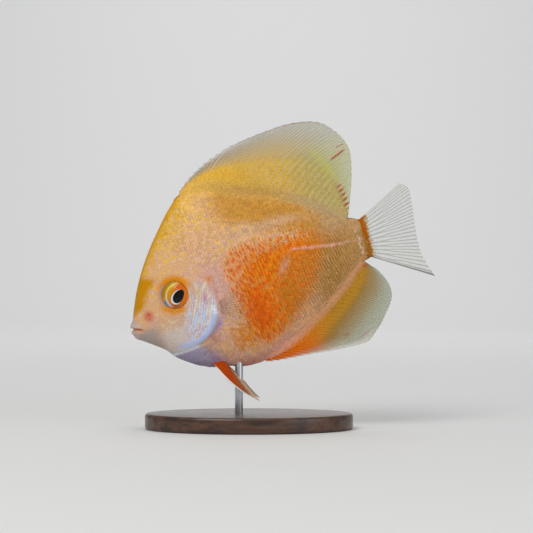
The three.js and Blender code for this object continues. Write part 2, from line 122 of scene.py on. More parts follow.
# %% Outline and width of the flesh
NOSE, TAIL_END = -0.5, 125.4
back_line = curve([
    (-0.5, -1.0), (0, 1.6), (1.4, 3.0), (4.1, 8.1), (9.1, 16.9), (15, 25.3), (22.6, 34.2),
    (30.4, 41.9), (38, 48.8), (44.5, 53.1), (50.5, 54.3), (57, 52.9), (66, 49), (78, 43.4),
    (90, 37.6), (102.5, 29), (111, 21.8), (119, 13.9), (125.4, 10.6),
])
belly_line = curve([
    (-0.5, -2.4), (-0.2, -5.2), (2.8, -8), (7.3, -11.9), (12.6, -17), (14.4, -20.1),
    (18.5, -24.4), (24.7, -29.2), (30.5, -32.4), (40.6, -35.6), (48.1, -38), (54.2, -38.9),
    (61.6, -37.8), (70.6, -35.1), (80, -31.7), (89.5, -27.6), (99.4, -22.8), (108.3, -17.6),
    (116, -12.4), (121.6, -9.6), (125.4, -8.9),
])
half_width = curve([
    (-0.5, 0.5), (0, 2.6), (1.4, 3.9), (4.1, 5.1), (9.1, 7), (15, 8.7), (22.6, 10.1),
    (30.4, 11.2), (38, 11.9), (46, 12.1), (56, 11.8), (66, 11), (78, 9.7), (90, 8),
    (102.5, 5.9), (111, 4.4), (119, 3.2), (125.4, 2.3),
])
section_power = curve([(-0.5, 0.5), (12, 0.6), (30, 0.78), (50, 0.9), (125.4, 0.8)])
ridge_width = curve([(-0.5, 0.3), (8, 2.2), (30, 2.4), (60, 1.7), (125.4, 1.2)])
WIDEST = 0.47  # height of the widest place, as a share of the depth
print("depth of the body at its middle:", float(back_line(57) - belly_line(57)))


# %% Points on the flesh
def side_at(a, b):
    """Half width of the flesh at a point of the side view."""
    top, bottom, half = back_line(a), belly_line(a), half_width(a)
    middle = bottom + WIDEST * (top - bottom)
    reach = np.where(b > middle, top - middle, middle - bottom)
    t = np.clip((b - middle) / reach, -1, 1)
    ridge = np.minimum(ridge_width(a), half * 0.6)
    inside = np.maximum(1 - t * t, 0)
    return (half - ridge) * inside ** section_power(a) + ridge * np.sqrt(inside)


def flesh(a, angle):
    """Points (a, y, b) of the flesh at stations a and angles round the section."""
    top, bottom = back_line(a), belly_line(a)
    middle = bottom + WIDEST * (top - bottom)
    t = np.sin(angle)
    b = middle + np.where(t > 0, t * (top - middle), t * (middle - bottom))
    side = np.where(np.cos(angle) < 0, -1, 1)
    y = np.where(np.abs(np.cos(angle)) < 1e-9, 0, side * side_at(a, b))
    return np.stack(np.broadcast_arrays(a, y, b), axis=-1)


print("half width of the cheek:", round(float(side_at(26.5, 0)), 2))

# %% [markdown]
# ## Meshes from points
#
# A cube or a ball is added by an operator and then shaped. A skin, a fin or a coat of scales
# has tens of thousands of points, each at a place that a formula gives, and no primitive comes
# near it. Such a mesh is written straight from its points and faces. Each point can also keep
# numbers, which its material reads later.


# %% From points to a piece
def grid_faces(rows, columns, wrap):
    """Quads over a grid numbered row by row; wrap joins the last column to the first."""
    row = np.arange(rows - 1)[:, None] * columns
    here = np.arange(columns if wrap else columns - 1)[None, :]
    there = (here + 1) % columns
    quads = [row + here, row + there, row + columns + there, row + columns + here]
    return np.stack(quads, axis=-1).reshape(-1, 4)


def make_mesh(name, points, faces, smooth_angle=None):
    """A new object from points in metres and faces of equal size."""
    mesh = bpy.data.meshes.new(name)
    mesh.from_pydata([tuple(p) for p in points], [], [list(map(int, f)) for f in faces])
    mesh.update()
    piece = bpy.data.objects.new(name, mesh)
    scene.collection.objects.link(piece)
    for face in mesh.polygons:
        face.use_smooth = True
    bpy.ops.object.select_all(action="DESELECT")
    piece.select_set(True)
    bpy.context.view_layer.objects.active = piece
    if smooth_angle is not None:
        bpy.ops.object.shade_smooth_by_angle(angle=math.radians(smooth_angle))
    print(name, len(mesh.vertices), "points", len(mesh.polygons), "faces")
    return piece


def face_outwards():
    """Recalculates the normals of the active piece, so that they all point outwards."""
    bpy.ops.object.mode_set(mode="EDIT")
    bpy.ops.mesh.select_all(action="SELECT")
    bpy.ops.mesh.normals_make_consistent(inside=False)
    bpy.ops.object.mode_set(mode="OBJECT")


# %% Numbers kept at each point
def add_number(piece, name, values):
    """Keeps one number for each point of a piece, for its material to read."""
    layer = piece.data.attributes.new(name, "FLOAT", "POINT")
    layer.data.foreach_set("value", np.asarray(values, np.float32).ravel())


def add_vector(piece, name, values):
    """Keeps three numbers for each point of a piece, for its material to read."""
    layer = piece.data.attributes.new(name, "FLOAT_VECTOR", "POINT")
    layer.data.foreach_set("vector", np.asarray(values, np.float32).ravel())


def add_unwrap(piece, flat):
    """A UV map from one flat place for each point of a piece."""
    layer = piece.data.uv_layers.new(name="OFBake")
    corners = np.zeros(len(piece.data.loops), np.int32)
    piece.data.loops.foreach_get("vertex_index", corners)
    layer.data.foreach_set("uv", np.asarray(flat, np.float32)[corners].ravel())


# %% [markdown]
# ## The skin
#
# Head, gill covers, trunk and tail stalk are separate solids, but on a fish no seam shows
# between them. One skin replaces them all. It starts as the smooth flesh, and every point is
# then moved along its normal: in at the mouth line, the nostrils and behind the gill cover,
# out at the lips, the rim of the eye and the gill cover itself. Moving points keeps one closed
# surface, which cutting and joining would not.

# %% Landmarks of the head
GILL_CENTRE = (26.5, -1.0)
GILL_RADIUS = 18.4
GILL_LIFT, GILL_GROOVE, CHEEK_FOLD = 0.7, 0.4, 0.22
GILL_FLAT = 6.0
UPPER_LIP, LOWER_LIP, MOUTH_SLIT = 0.42, 0.55, 1.0
EYE_AT = (26.3, 7.7)
EYE_OPENING = 6.7
EYE_SUNK = 3.3
EYE_RADIUS = 8.3
EYE_DEPTH = 5.4
SOCKET_PIT, SOCKET_RIM = 2.2, 0.16
NOSTRIL_AT = (10.5, 3.0)
NOSTRIL_PIT, NOSTRIL_RIM = 0.7, 0.16
throat_line = curve([(12.9, 18.0), (17.9, 19.4), (26.5, 19.4)])
cheek_line = curve([(-15.6, 13.6), (-12, 20.9), (-5.4, 26.9), (1.8, 31.8), (9.6, 35.6)])
mouth_line = curve([(-0.5, -0.8), (0.6, -1.0), (5.2, -2.9), (9, -4)])


def beyond_gill(a, b):
    """Distance outside the free edge of the gill cover; negative on the cover."""
    behind = np.hypot(a - GILL_CENTRE[0], b - GILL_CENTRE[1]) - GILL_RADIUS
    below = -b - throat_line(a)
    return np.where((a < GILL_CENTRE[0]) & (b < GILL_CENTRE[1]), below, behind)


def eye_frame(side):
    """Where an eye sits on the cheek, and the three directions of its own frame."""
    a, b = EYE_AT
    step = 2.0
    along = (side_at(a + step, b) - side_at(a - step, b)) / (2 * step)
    upward = (side_at(a, b + step) - side_at(a, b - step)) / (2 * step)
    out = np.array([-along, side, -upward])
    out /= np.linalg.norm(out)
    back = np.array([1.0, 0, 0]) - out * out[0]
    back /= np.linalg.norm(back)
    up = np.cross(out, back) * (-side)
    return np.array([a, side * side_at(a, b), b]), back, up, out


print("left eye faces", eye_frame(-1)[3].round(3))

# %% Rings of the skin and their normals
SKIN_RINGS, SKIN_AROUND = 330, 256
SNOUT_CROWDING = 1.35  # above 1, the rings stand closer together at the snout
share = (np.arange(SKIN_RINGS + 1) / SKIN_RINGS) ** SNOUT_CROWDING
ring_a = (NOSE + (TAIL_END - NOSE) * share)[:, None]
ring_angle = (-math.pi / 2 + 2 * math.pi * np.arange(SKIN_AROUND) / SKIN_AROUND)[None, :]
skin = flesh(ring_a, ring_angle)
along = np.gradient(skin, axis=0)
around = (np.roll(skin, -1, axis=1) - np.roll(skin, 1, axis=1)) / 2
normal = np.cross(around, along)
normal /= np.maximum(np.linalg.norm(normal, axis=-1, keepdims=True), 1e-9)
if np.mean(normal[..., 1] * skin[..., 1]) < 0:
    normal = -normal
print("points of the skin:", skin.shape[0] * skin.shape[1])

# %% Raise the gill cover and the lips
a, y, b = skin[..., 0], skin[..., 1], skin[..., 2]
edge = beyond_gill(a, b)
reach = np.hypot(a - GILL_CENTRE[0], b - GILL_CENTRE[1])
plate = smooth(b, 14, 11) * smooth(a, 12, 20)
move = GILL_LIFT * smooth(reach, GILL_FLAT, GILL_RADIUS) * smooth(edge, 0.4, -0.5) * plate
move -= GILL_GROOVE * bump(edge, 0.75, 0.55) * plate
move -= CHEEK_FOLD * bump(a, cheek_line(b), 0.7) * smooth(b, -16, -12) * smooth(b, 10, 6)

gape = b - mouth_line(a)
lips = smooth(a, 6.0, 3.6)
move += lips * (UPPER_LIP * bump(gape, 1.3, 0.8) + LOWER_LIP * bump(gape, -1.7, 0.95))
slit = np.exp(-((gape / (0.3 + 0.09 * np.maximum(5.0 - a, 0))) ** 4))
move -= MOUTH_SLIT * slit * smooth(a, 5.6, 3.8)
print("moved out by up to", round(float(move.max()), 2), "and in by", round(-float(move.min()), 2))

# %% Sink the nostrils and the sockets of the eyes
nostril = np.hypot(a - NOSTRIL_AT[0], b - NOSTRIL_AT[1])
move += NOSTRIL_RIM * bump(nostril, 1.1, 0.4) - NOSTRIL_PIT * bump(nostril, 0, 0.65)
for side in (-1, 1):
    seat, _, _, out = eye_frame(side)
    away = skin - seat
    flat = np.linalg.norm(away - (away @ out)[..., None] * out, axis=-1)
    same_side = y * side > 0
    socket = -SOCKET_PIT * smooth(flat, EYE_OPENING + 0.3, EYE_OPENING - 0.7)
    rim = SOCKET_RIM * bump(flat, EYE_OPENING + 1.1, 1.0)
    move += np.where(same_side, socket + rim, 0)
skin = skin + normal * move[..., None]
print("deepest place of the sockets:", round(-float(move.min()), 2))

# %% Close the skin and set it in place
hubs = [skin[0].mean(axis=0), skin[-1].mean(axis=0)]
points = np.concatenate([skin.reshape(-1, 3), hubs])
faces = [list(f) for f in grid_faces(SKIN_RINGS + 1, SKIN_AROUND, wrap=True)]
last = SKIN_RINGS * SKIN_AROUND
for i in range(SKIN_AROUND):
    j = (i + 1) % SKIN_AROUND
    faces.append([len(points) - 2, j, i])
    faces.append([len(points) - 1, last + i, last + j])
skin_piece = make_mesh("skin", to_room(points[:, 0], points[:, 1], points[:, 2]), faces)
face_outwards()
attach(skin_piece, "root")
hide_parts("head", "gill_cover_left", "gill_cover_right", "body", "tail_stalk")

# %% [markdown]
# ## Scales
#
# A discus has some fifty scales along its flank, each a thin plate rooted in the skin with a
# round free edge behind. They lie like roof tiles. A picture of scales in a bump would vanish
# at the outline, so they are real plates: thousands of copies of one plate are laid in columns
# across the flank, half a step apart from one column to the next, and joined. One plate has
# only sixteen triangles: eight points round its edge, one above and one below.

# %% One scale
SCALE_STEP = 1.5
SCALE_LENGTH, SCALE_WIDTH = 2.35, 1.95
PATCH = 0.003  # share of the unwrap that one scale covers
scale_rim = [(0.5 * math.cos(q), 0.5 * math.sin(q)) for q in np.radians((-80, -40, 0, 40, 80))]
scale_rim += [(-0.4, 0.4), (-0.52, 0.0), (-0.4, -0.4)]
scale_height = [0.05, 0.12, 0.15, 0.12, 0.05, -0.08, -0.12, -0.08]
# How near each point of a scale lies to its free edge; the paint uses it for painted light and
# shade.
free_edge = [0.8, 1, 1, 1, 0.8, 0, 0, 0, 0.4, 0]
scale_points = np.array(
    [(l, w, h) for (l, w), h in zip(scale_rim, scale_height)]
    + [(0.05, 0.0, 0.17), (0.0, 0.0, -0.2)]
)
SCALE_POINTS = len(scale_points)
scale_faces = []
for i in range(8):
    j = (i + 1) % 8
    scale_faces += [(i, j, 8), (j, i, 9)]
scale_faces = np.array(scale_faces)
print("one scale has", SCALE_POINTS, "points and", len(scale_faces), "triangles")


# %% Copies of the scale, joined
def lay_scales(name, place, back, up, out, size, spot, side):
    """Joins copies of the scale. Each spot is the place of its root on an unwrap of the skin."""
    count = len(place)
    local = scale_points[None] * np.stack(
        [SCALE_LENGTH * size, SCALE_WIDTH * size, np.sqrt(size)], axis=-1
    )[:, None, :]
    points = (
        place[:, None]
        + local[..., :1] * back[:, None]
        + local[..., 1:2] * up[:, None]
        + local[..., 2:] * out[:, None]
    ).reshape(-1, 3)
    order = scale_faces if side > 0 else scale_faces[:, ::-1]
    faces = (order[None] + SCALE_POINTS * np.arange(count)[:, None, None]).reshape(-1, 3)
    piece = make_mesh(name, to_room(*points.T), faces, smooth_angle=50)
    chance = np.random.default_rng(len(name)).random(count)
    add_number(piece, "chance", np.repeat(chance, SCALE_POINTS))
    add_number(piece, "rim", np.tile(free_edge, count))
    patch = scale_points[None, :, :2] * PATCH
    add_unwrap(piece, (spot[:, None] + patch).reshape(-1, 2))
    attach(piece, "root")
    return piece


# %% Where the columns of the flank stand
UNWRAP_SHARE = 0.98
FIRST_COLUMN, END_MARGIN = 20.0, 0.4
UPRIGHT_STEP = 0.98  # step within a column, as a share of the step between columns
BARE_BEHIND_GILL = 1.2
front_of_scales = curve([
    (-40, 20), (-30, 21), (-22, 30), (-16, 40), (-8, 46), (0, 46.8), (10, 46), (16, 44),
    (24, 37), (34, 30), (42, 32), (50, 42),
])
scale_size = curve([(20, 0.6), (34, 0.72), (50, 0.95), (70, 1.05), (95, 0.95), (124, 0.72)])


def flank_columns(side):
    """A row for each scale: a, angle, place, size and its spot on the unwrap."""
    found = []
    fine = np.radians(np.linspace(-88, 88, 500))
    a, column = FIRST_COLUMN, 0
    while a < TAIL_END - END_MARGIN:
        size = float(scale_size(a))
        line = flesh(np.full_like(fine, a), fine)
        steps = np.linalg.norm(np.diff(line[:, 1:], axis=0), axis=1)
        length = np.concatenate([[0], np.cumsum(steps)])
        middle = np.interp(0.0, fine, length)
        gap = SCALE_STEP * UPRIGHT_STEP * size
        first = middle + (0.5 * gap if column % 2 else 0)
        stops = np.concatenate([
            np.arange(first, length[-1], gap), np.arange(first - gap, 0, -gap),
        ])
        angle = np.interp(stops, length, fine)
        here = flesh(np.full_like(angle, a), angle)
        bare = beyond_gill(a, here[:, 2]) <= BARE_BEHIND_GILL
        keep = (a > front_of_scales(here[:, 2])) & ~bare
        round_share = stops / (2 * length[-1])
        for q, p, r in zip(angle[keep], here[keep], round_share[keep]):
            found.append((a, q, *p, size, a / TAIL_END * UNWRAP_SHARE, r if side > 0 else 1 - r))
        a += SCALE_STEP * size
        column += 1
    return np.array(found)


# %% Lay the scales of the flank
def flank_scales(side):
    """Places, directions, sizes and unwrapped spots of the scales on one side of the fish."""
    found = flank_columns(side)
    step_a = flesh(found[:, 0] + 0.3, found[:, 1]) - flesh(found[:, 0] - 0.3, found[:, 1])
    step_q = flesh(found[:, 0], found[:, 1] + 0.01) - flesh(found[:, 0], found[:, 1] - 0.01)
    place = found[:, 2:5]
    back = step_a / np.linalg.norm(step_a, axis=1, keepdims=True)
    out = np.cross(step_q, back)
    out /= np.linalg.norm(out, axis=1, keepdims=True)
    out *= np.sign(out[:, 1:2])
    up = np.cross(back, out)
    up *= np.sign(up[:, 2:3])
    mirror = np.array([1, side, 1])
    return place * mirror, back * mirror, up * mirror, out * mirror, found[:, 5], found[:, 6:]


rng = np.random.default_rng(11)
flank_coat = []
for side, word in ((-1, "left"), (1, "right")):
    place, back, up, out, size, spot = flank_scales(side)
    size = size * (1 + 0.05 * rng.standard_normal(len(size)))
    flank_coat.append(lay_scales(f"scales_{word}", place, back, up, out, size, spot, -side))
    print("scales on the", word, "side:", len(place))

# %% [markdown]
# ## Fins
#
# A fin is a thin skin stretched over rays. The front rays of the back fin are stiff spines;
# the soft rays behind them fork again and again towards the edge. A plane with a picture of
# rays would look flat from every other side, so a sheet of points is laid over each fin, its
# columns along the rays, and each ray stands out on both faces. Dorsal and anal fin have a
# thick scaled foot, so the back runs into the fin without a step.


# %% Rays and their crests
def spread(keys, count):
    """Root and tip points of evenly spread rays, smoothly between the key rays."""
    keys = np.array(keys, float)
    spots = np.linspace(0, len(keys) - 1, count)
    low = np.clip(np.floor(spots).astype(int), 0, len(keys) - 2)
    t = (spots - low)[:, None]
    p0, p1 = keys[np.maximum(low - 1, 0)], keys[low]
    p2, p3 = keys[low + 1], keys[np.minimum(low + 2, len(keys) - 1)]
    v0, v1 = (p2 - p0) * 0.5, (p3 - p1) * 0.5
    return (
        (2 * p1 - 2 * p2 + v0 + v1) * t**3
        + (-3 * p1 + 3 * p2 - 2 * v0 - v1) * t**2
        + v0 * t
        + p1
    )


def crest(across, along, forks):
    """How high the rays stand: each splits in two, so that the branches end evenly spread."""
    away = np.minimum(across, 1 - across)
    split = 0.25 * forks * smooth(along, 0.22, 0.6)
    width = 0.13 - 0.05 * forks * smooth(along, 0.2, 0.5)
    return np.exp(-(((away - split) / width) ** 2))


def fin_faces(count, line):
    """A near and a far face of count columns with line points each, closed round the edge."""
    other = count * line
    sheet = grid_faces(count, line, wrap=False)
    faces = [list(f) for f in sheet] + [list(f[::-1] + other) for f in sheet]
    for i in range(count - 1):
        p, q = i * line, (i + 1) * line
        faces.append([p, q, q + other, p + other][::-1])
        p, q = p + line - 1, q + line - 1
        faces.append([p, q, q + other, p + other])
    for j in range(line - 1):
        faces.append([j, j + 1, j + 1 + other, j + other])
        p = (count - 1) * line + j
        faces.append([p, p + 1, p + 1 + other, p + other][::-1])
    return faces


# %% A sheet over a set of rays
def fin_sheet(name, keys, rays, rows, bend, notch, thick, foot, place, forks, columns=12):
    """A closed sheet over the rays, with numbers for reach along and crest across."""
    span = np.linspace(0, 1, (rays - 1) * columns + 1)
    ends = spread(keys, len(span))
    root, tip = ends[:, :2], ends[:, 2:]
    ray = span * (rays - 1)
    across = ray - np.floor(ray)
    across[-1] = 0
    web_dip = np.sin(math.pi * across) ** 0.7
    length = np.linalg.norm(tip - root, axis=1)
    short = np.minimum(notch(ray) * web_dip, 0.4 * length) / length
    tip = tip + (root - tip) * short[:, None]
    v = np.linspace(0, 1, rows + 1)[None, :, None]
    chord = (tip - root)[:, None]
    bow = np.stack([-chord[..., 1], chord[..., 0]], axis=-1) * bend
    middle = root[:, None] + chord * v + bow * 4 * v * (1 - v)
    v = v[..., 0]
    height = crest(across[:, None], v, forks(ray)[:, None])
    web, ridge = thick
    half = (web + (ridge - web) * height) * (1 - 0.55 * v)
    footing, foot_share = foot
    half = half + footing * np.maximum(0, 1 - v / foot_share) ** 1.4
    a, b = middle[..., 0], middle[..., 1]
    y = place(a, b, v)
    near, far = to_room(a, y - half, b), to_room(a, y + half, b)
    points = np.concatenate([near.reshape(-1, 3), far.reshape(-1, 3)])
    piece = make_mesh(name, points, fin_faces(*near.shape[:2]))
    face_outwards()
    numbers = (("reach", v), ("crest", height), ("ray", ray[:, None]))
    for kept, grid in numbers:
        add_number(piece, kept, np.tile(np.broadcast_to(grid, height.shape).ravel(), 2))
    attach(piece, "root")
    return piece, middle, y, half


# %% Dorsal fin
ROOT_DEPTH = 2.4  # how deep the rays start in the flesh


def on_back(a):
    return (a, float(back_line(a)) - ROOT_DEPTH)


def stir(a, b, v):
    """The rear of a fin sways a little to one side."""
    return 1.5 * v * v * np.sin((a - 60) / 26)


DORSAL_RAYS, DORSAL_SPINES = 38, 9
DORSAL_SHEATH = [(0, 0.9), (0.09, 0.62), (0.18, 0.47), (0.36, 0.43), (0.55, 0.45), (0.64, 0.56),
                 (0.91, 0.62), (1, 0.85)]
dorsal_keys = [
    (*on_back(45), 47, 56.1), (*on_back(48), 55, 60.9), (*on_back(51.5), 66, 65.2),
    (*on_back(56.5), 79, 67.7), (*on_back(63), 95, 68.4), (*on_back(71), 111, 67.6),
    (*on_back(79.5), 124, 63.2), (*on_back(88.5), 131.2, 54), (*on_back(98), 133.5, 45),
    (*on_back(106.5), 131, 35), (*on_back(113.5), 127.2, 26), (*on_back(119.5), 121.5, 14.6),
]
dorsal, *dorsal_grid = fin_sheet(
    "dorsal_fin_sheet", dorsal_keys, DORSAL_RAYS, 40, 0.07,
    lambda ray: np.where(ray < DORSAL_SPINES, 1.1, 0.35),
    (0.2, 0.42), (1.25, 0.6), stir, lambda ray: smooth(ray, DORSAL_SPINES, DORSAL_SPINES + 2),
)
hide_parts("dorsal_fin")


# %% Anal fin
def on_belly(a):
    return (a, float(belly_line(a)) + ROOT_DEPTH)


ANAL_RAYS, ANAL_SPINES = 36, 7
ANAL_SHEATH = [(0, 0.9), (0.08, 0.8), (0.15, 0.7), (0.31, 0.6), (0.46, 0.5), (0.7, 0.43),
               (0.85, 0.38), (1, 0.6)]
ANAL_SCALED = 0.7  # share of the sheath that scales cover
anal_keys = [
    (*on_belly(54.6), 57.5, -40.1), (*on_belly(57), 66, -41.9), (*on_belly(60.5), 77, -43.7),
    (*on_belly(65), 89, -45.9), (*on_belly(70.6), 99.5, -47.6), (*on_belly(76), 108, -48.2),
    (*on_belly(82.5), 113.5, -45), (*on_belly(90), 118.4, -41.3),
    (*on_belly(97.5), 122, -37.8), (*on_belly(104), 125.4, -34.3),
    (*on_belly(110), 127.8, -30), (*on_belly(114), 127.9, -24), (*on_belly(117), 125.3, -16.6),
    (*on_belly(119.5), 121.4, -11.8),
]
anal, *anal_grid = fin_sheet(
    "anal_fin_sheet", anal_keys, ANAL_RAYS, 36, 0.04,
    lambda ray: np.where(ray < ANAL_SPINES, 0.8, 0.35),
    (0.2, 0.42), (1.15, 0.5), lambda a, b, v: -stir(a, b, v),
    lambda ray: smooth(ray, ANAL_SPINES, ANAL_SPINES + 2),
)
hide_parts("anal_fin")

# %% [markdown]
# ## Tail, pectoral and pelvic fins
#
# The tail fin is a fan and nearly clear. The pectoral fins beat all day, so they are the
# thinnest and stand out from the flank behind the gill covers. The pelvic fins hang like narrow
# blades with a pale front edge. All are the same kind of sheet, so one function makes them.

# %% Tail fin
TAIL_RAYS, TAIL_SWAY = 15, 2.2
TAIL_ROOT = 122.8
tail_keys = [
    (TAIL_ROOT, 9.4, 151.4, 20.3), (TAIL_ROOT, 7, 154.6, 16.5), (TAIL_ROOT, 4.2, 153.4, 8),
    (TAIL_ROOT, 1, 151.6, 0), (TAIL_ROOT, -2.2, 149.8, -9.5), (TAIL_ROOT, -5.2, 149.2, -18.5),
    (TAIL_ROOT, -7.9, 151.4, -29.9),
]
tail = fin_sheet(
    "tail_fin_sheet", tail_keys, TAIL_RAYS, 44, 0.0, lambda ray: 0.6 + 0 * ray,
    (0.18, 0.46), (1.1, 0.3), lambda a, b, v: TAIL_SWAY * v * v, lambda ray: 1 + 0 * ray,
    columns=16,
)[0]
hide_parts("tail_fin")

# %% Pectoral and pelvic fins
PECTORAL_RAYS, PELVIC_RAYS = 12, 6
PECTORAL_BASE, PECTORAL_SPLAY, PECTORAL_SUNK = (46.2, -5.6), 0.62, 0.4
pectoral_keys = [
    (45.8, -3.4, 59.5, 1.4), (45.8, -4.4, 62.6, -3.6), (45.7, -5.4, 64.2, -9.4),
    (45.5, -6.4, 63.6, -15.2), (45.2, -7.4, 60.6, -20), (44.9, -8.2, 55.4, -22.4),
]
PELVIC_BASE_B, PELVIC_SIDE, PELVIC_SPLAY = -32, 2.6, 0.31
pelvic_keys = [
    (31.6, -30.2, 41.2, -49.9), (32.8, -30.4, 47.1, -56.2), (34, -30.7, 45.4, -51.6),
    (35.2, -31, 43.6, -46.4), (36.4, -31.4, 41.6, -41.4), (37.6, -31.8, 39.8, -37.4),
]
shoulder = float(side_at(*PECTORAL_BASE)) - PECTORAL_SUNK
pectoral_fins, pelvic_fins = [], []
for side, word in ((-1, "left"), (1, "right")):
    piece = fin_sheet(
        f"pectoral_fin_sheet_{word}", pectoral_keys, PECTORAL_RAYS, 30, 0.03,
        lambda ray: 0.5 + 0 * ray, (0.14, 0.34), (0.9, 0.35),
        lambda a, b, v: side * (shoulder + PECTORAL_SPLAY * (a - PECTORAL_BASE[0])),
        lambda ray: 1 + 0 * ray, columns=12,
    )[0]
    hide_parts(f"pectoral_fin_{word}")
    pectoral_fins.append(piece)
    piece = fin_sheet(
        f"pelvic_fin_sheet_{word}", pelvic_keys, PELVIC_RAYS, 34, -0.05,
        lambda ray: 0.9 + 0 * ray, (0.18, 0.46), (0.4, 0.3),
        lambda a, b, v: side * (PELVIC_SIDE + PELVIC_SPLAY * (PELVIC_BASE_B - b)),
        lambda ray: 1 + 0 * ray, columns=14,
    )[0]
    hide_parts(f"pelvic_fin_{word}")
    pelvic_fins.append(piece)

# %% [markdown]
# ## Scales on the feet of the fins
#
# On a discus the scales climb from the back and the belly on to the fins and grow smaller and
# sparser until only web and rays are left. Rows of the same plate follow the fin's own grid,
# and a few near the upper edge are left out by chance, so that the coat ends raggedly.

# %% Small scales on the feet of the dorsal and anal fins
FOOT_GAP, FOOT_STEP, FOOT_LEAN = 0.9, 0.032, 0.35
FOOT_FROM, FOOT_TO = 0.04, 0.8  # first and last row, as shares of the rays' length
FOOT_MARGIN = 1.2
FOOT_RAGGED, FOOT_SPARED = 0.06, 0.1


def foot_scales(name, grid, sheath, side):
    """Scales over the thick foot of a fin, fewer and smaller towards the edge of the foot."""
    middle, centre_y, half = grid
    columns, rows = middle.shape[:2]
    places, sizes, spots = [], [], []
    for k, v in enumerate(np.arange(FOOT_FROM, FOOT_TO, FOOT_STEP)):
        low = int(v * (rows - 1))
        part = v * (rows - 1) - low

        def between(values):
            return values[:, low] * (1 - part) + values[:, low + 1] * part

        line = between(middle)
        steps = np.concatenate([[0], np.cumsum(np.linalg.norm(np.diff(line, axis=0), axis=1))])
        first = FOOT_MARGIN + (FOOT_GAP / 2 if k % 2 else 0)
        stops = np.arange(first, steps[-1] - FOOT_MARGIN, FOOT_GAP)
        share = np.interp(stops, steps, np.linspace(0, 1, columns))
        left = curve(sheath)(share) - v
        keep = left + FOOT_RAGGED * rng.standard_normal(len(stops)) > FOOT_SPARED
        height = side * (np.interp(stops, steps, between(half)) + 0.02)
        here = np.column_stack([
            np.interp(stops, steps, line[:, 0]),
            height + np.interp(stops, steps, between(centre_y)),
            np.interp(stops, steps, line[:, 1]),
        ])
        places.append(here[keep])
        unwrapped = np.column_stack([0.01 + share * UNWRAP_SHARE, np.full_like(share, v)])
        spots.append(unwrapped[keep])
        sizes.append(0.4 + 0.24 * smooth(left[keep], 0, 0.25))
    place = np.concatenate(places)
    size = np.concatenate(sizes) * (1 + 0.05 * rng.standard_normal(len(place)))
    lean = FOOT_LEAN if middle[0, -1, 1] > 0 else -FOOT_LEAN
    back = np.tile([math.cos(lean), 0, math.sin(lean)], (len(place), 1))
    up = np.tile([-math.sin(lean), 0, math.cos(lean)], (len(place), 1))
    out = np.tile([0.0, side, 0.0], (len(place), 1))
    spot = np.concatenate(spots)
    piece = lay_scales(name, place, back, up, out, size, spot, -side)
    add_number(piece, "ray", np.repeat(spot[:, 0], SCALE_POINTS))
    return piece


dorsal_coat, anal_coat = [], []
anal_scaled = [(x, y * ANAL_SCALED) for x, y in ANAL_SHEATH]
for side, word in ((-1, "left"), (1, "right")):
    dorsal_coat.append(foot_scales(f"dorsal_scales_{word}", dorsal_grid, DORSAL_SHEATH, side))
    anal_coat.append(foot_scales(f"anal_scales_{word}", anal_grid, anal_scaled, side))

# %% [markdown]
# ## Eyes
#
# A fish's eye is a flattened ball. The iris is a curved disc with a black pupil that isn't
# quite round, and a clear cornea bulges over both. The ball is a sphere primitive: its poles
# are turned outwards, it is flattened, and its outer cap is pressed in to make the iris. A
# second, slightly larger cap of clear material makes the cornea.


# %% A ball and its place in the socket
def ball(name):
    """A sphere primitive with its poles along z, unit size, ready to be shaped."""
    bpy.ops.object.select_all(action="DESELECT")
    bpy.ops.mesh.primitive_uv_sphere_add(segments=96, ring_count=64, radius=1)
    piece = bpy.context.active_object
    piece.name = name
    piece.data.name = name
    bpy.ops.object.shade_smooth()
    return piece


def place_eye(piece, side):
    """Turns and sets a ball in its socket, and keeps each point's place in the eye's frame."""
    seat, back, up, out = eye_frame(side)
    local = np.zeros(len(piece.data.vertices) * 3)
    piece.data.vertices.foreach_get("co", local)
    local = local.reshape(-1, 3)
    centre = seat - out * EYE_SUNK
    placed = centre + local[:, :1] * back + local[:, 1:2] * up + local[:, 2:] * out
    piece.data.vertices.foreach_set("co", to_room(*placed.T).ravel())
    add_vector(piece, "gaze", local)
    face_outwards()
    piece.data.update()
    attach(piece, "root")
    print(piece.name, "faces", out.round(2))


# %% Model the eyes
IRIS_SINK = 0.9
UNDER_CORNEA = 0.985  # size of the ball as a share of the cornea

eyes, corneas = [], []
for side, word in ((-1, "left"), (1, "right")):
    eye = ball(f"eyeball_{word}")
    for v in eye.data.vertices:
        r = math.hypot(v.co.x, v.co.y)
        flat = 1 - IRIS_SINK / EYE_DEPTH * float(smooth(r, 0.95, 0.6)) if v.co.z > 0 else 1
        v.co = (v.co.x * EYE_RADIUS * UNDER_CORNEA, v.co.y * EYE_RADIUS * UNDER_CORNEA,
                v.co.z * EYE_DEPTH * UNDER_CORNEA * flat)
    place_eye(eye, side)
    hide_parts(f"eye_{word}")
    eyes.append(eye)
    cornea = ball(f"cornea_{word}")
    bpy.ops.object.mode_set(mode="EDIT")
    bpy.ops.mesh.select_all(action="SELECT")
    bpy.ops.mesh.bisect(plane_co=(0, 0, 0.3), plane_no=(0, 0, 1), clear_inner=True, use_fill=True)
    bpy.ops.object.mode_set(mode="OBJECT")
    for v in cornea.data.vertices:
        v.co = (v.co.x * EYE_RADIUS, v.co.y * EYE_RADIUS, v.co.z * EYE_DEPTH)
    place_eye(cornea, side)
    corneas.append(cornea)

# %% [markdown]
# ## The stand
#
# The living fish hangs in water. On a shelf a plain stand holds it: an oval base of dark wood
# and one steel rod. Both are primitives with their sharp edges rounded, set at the places of
# the solids that they stand for.


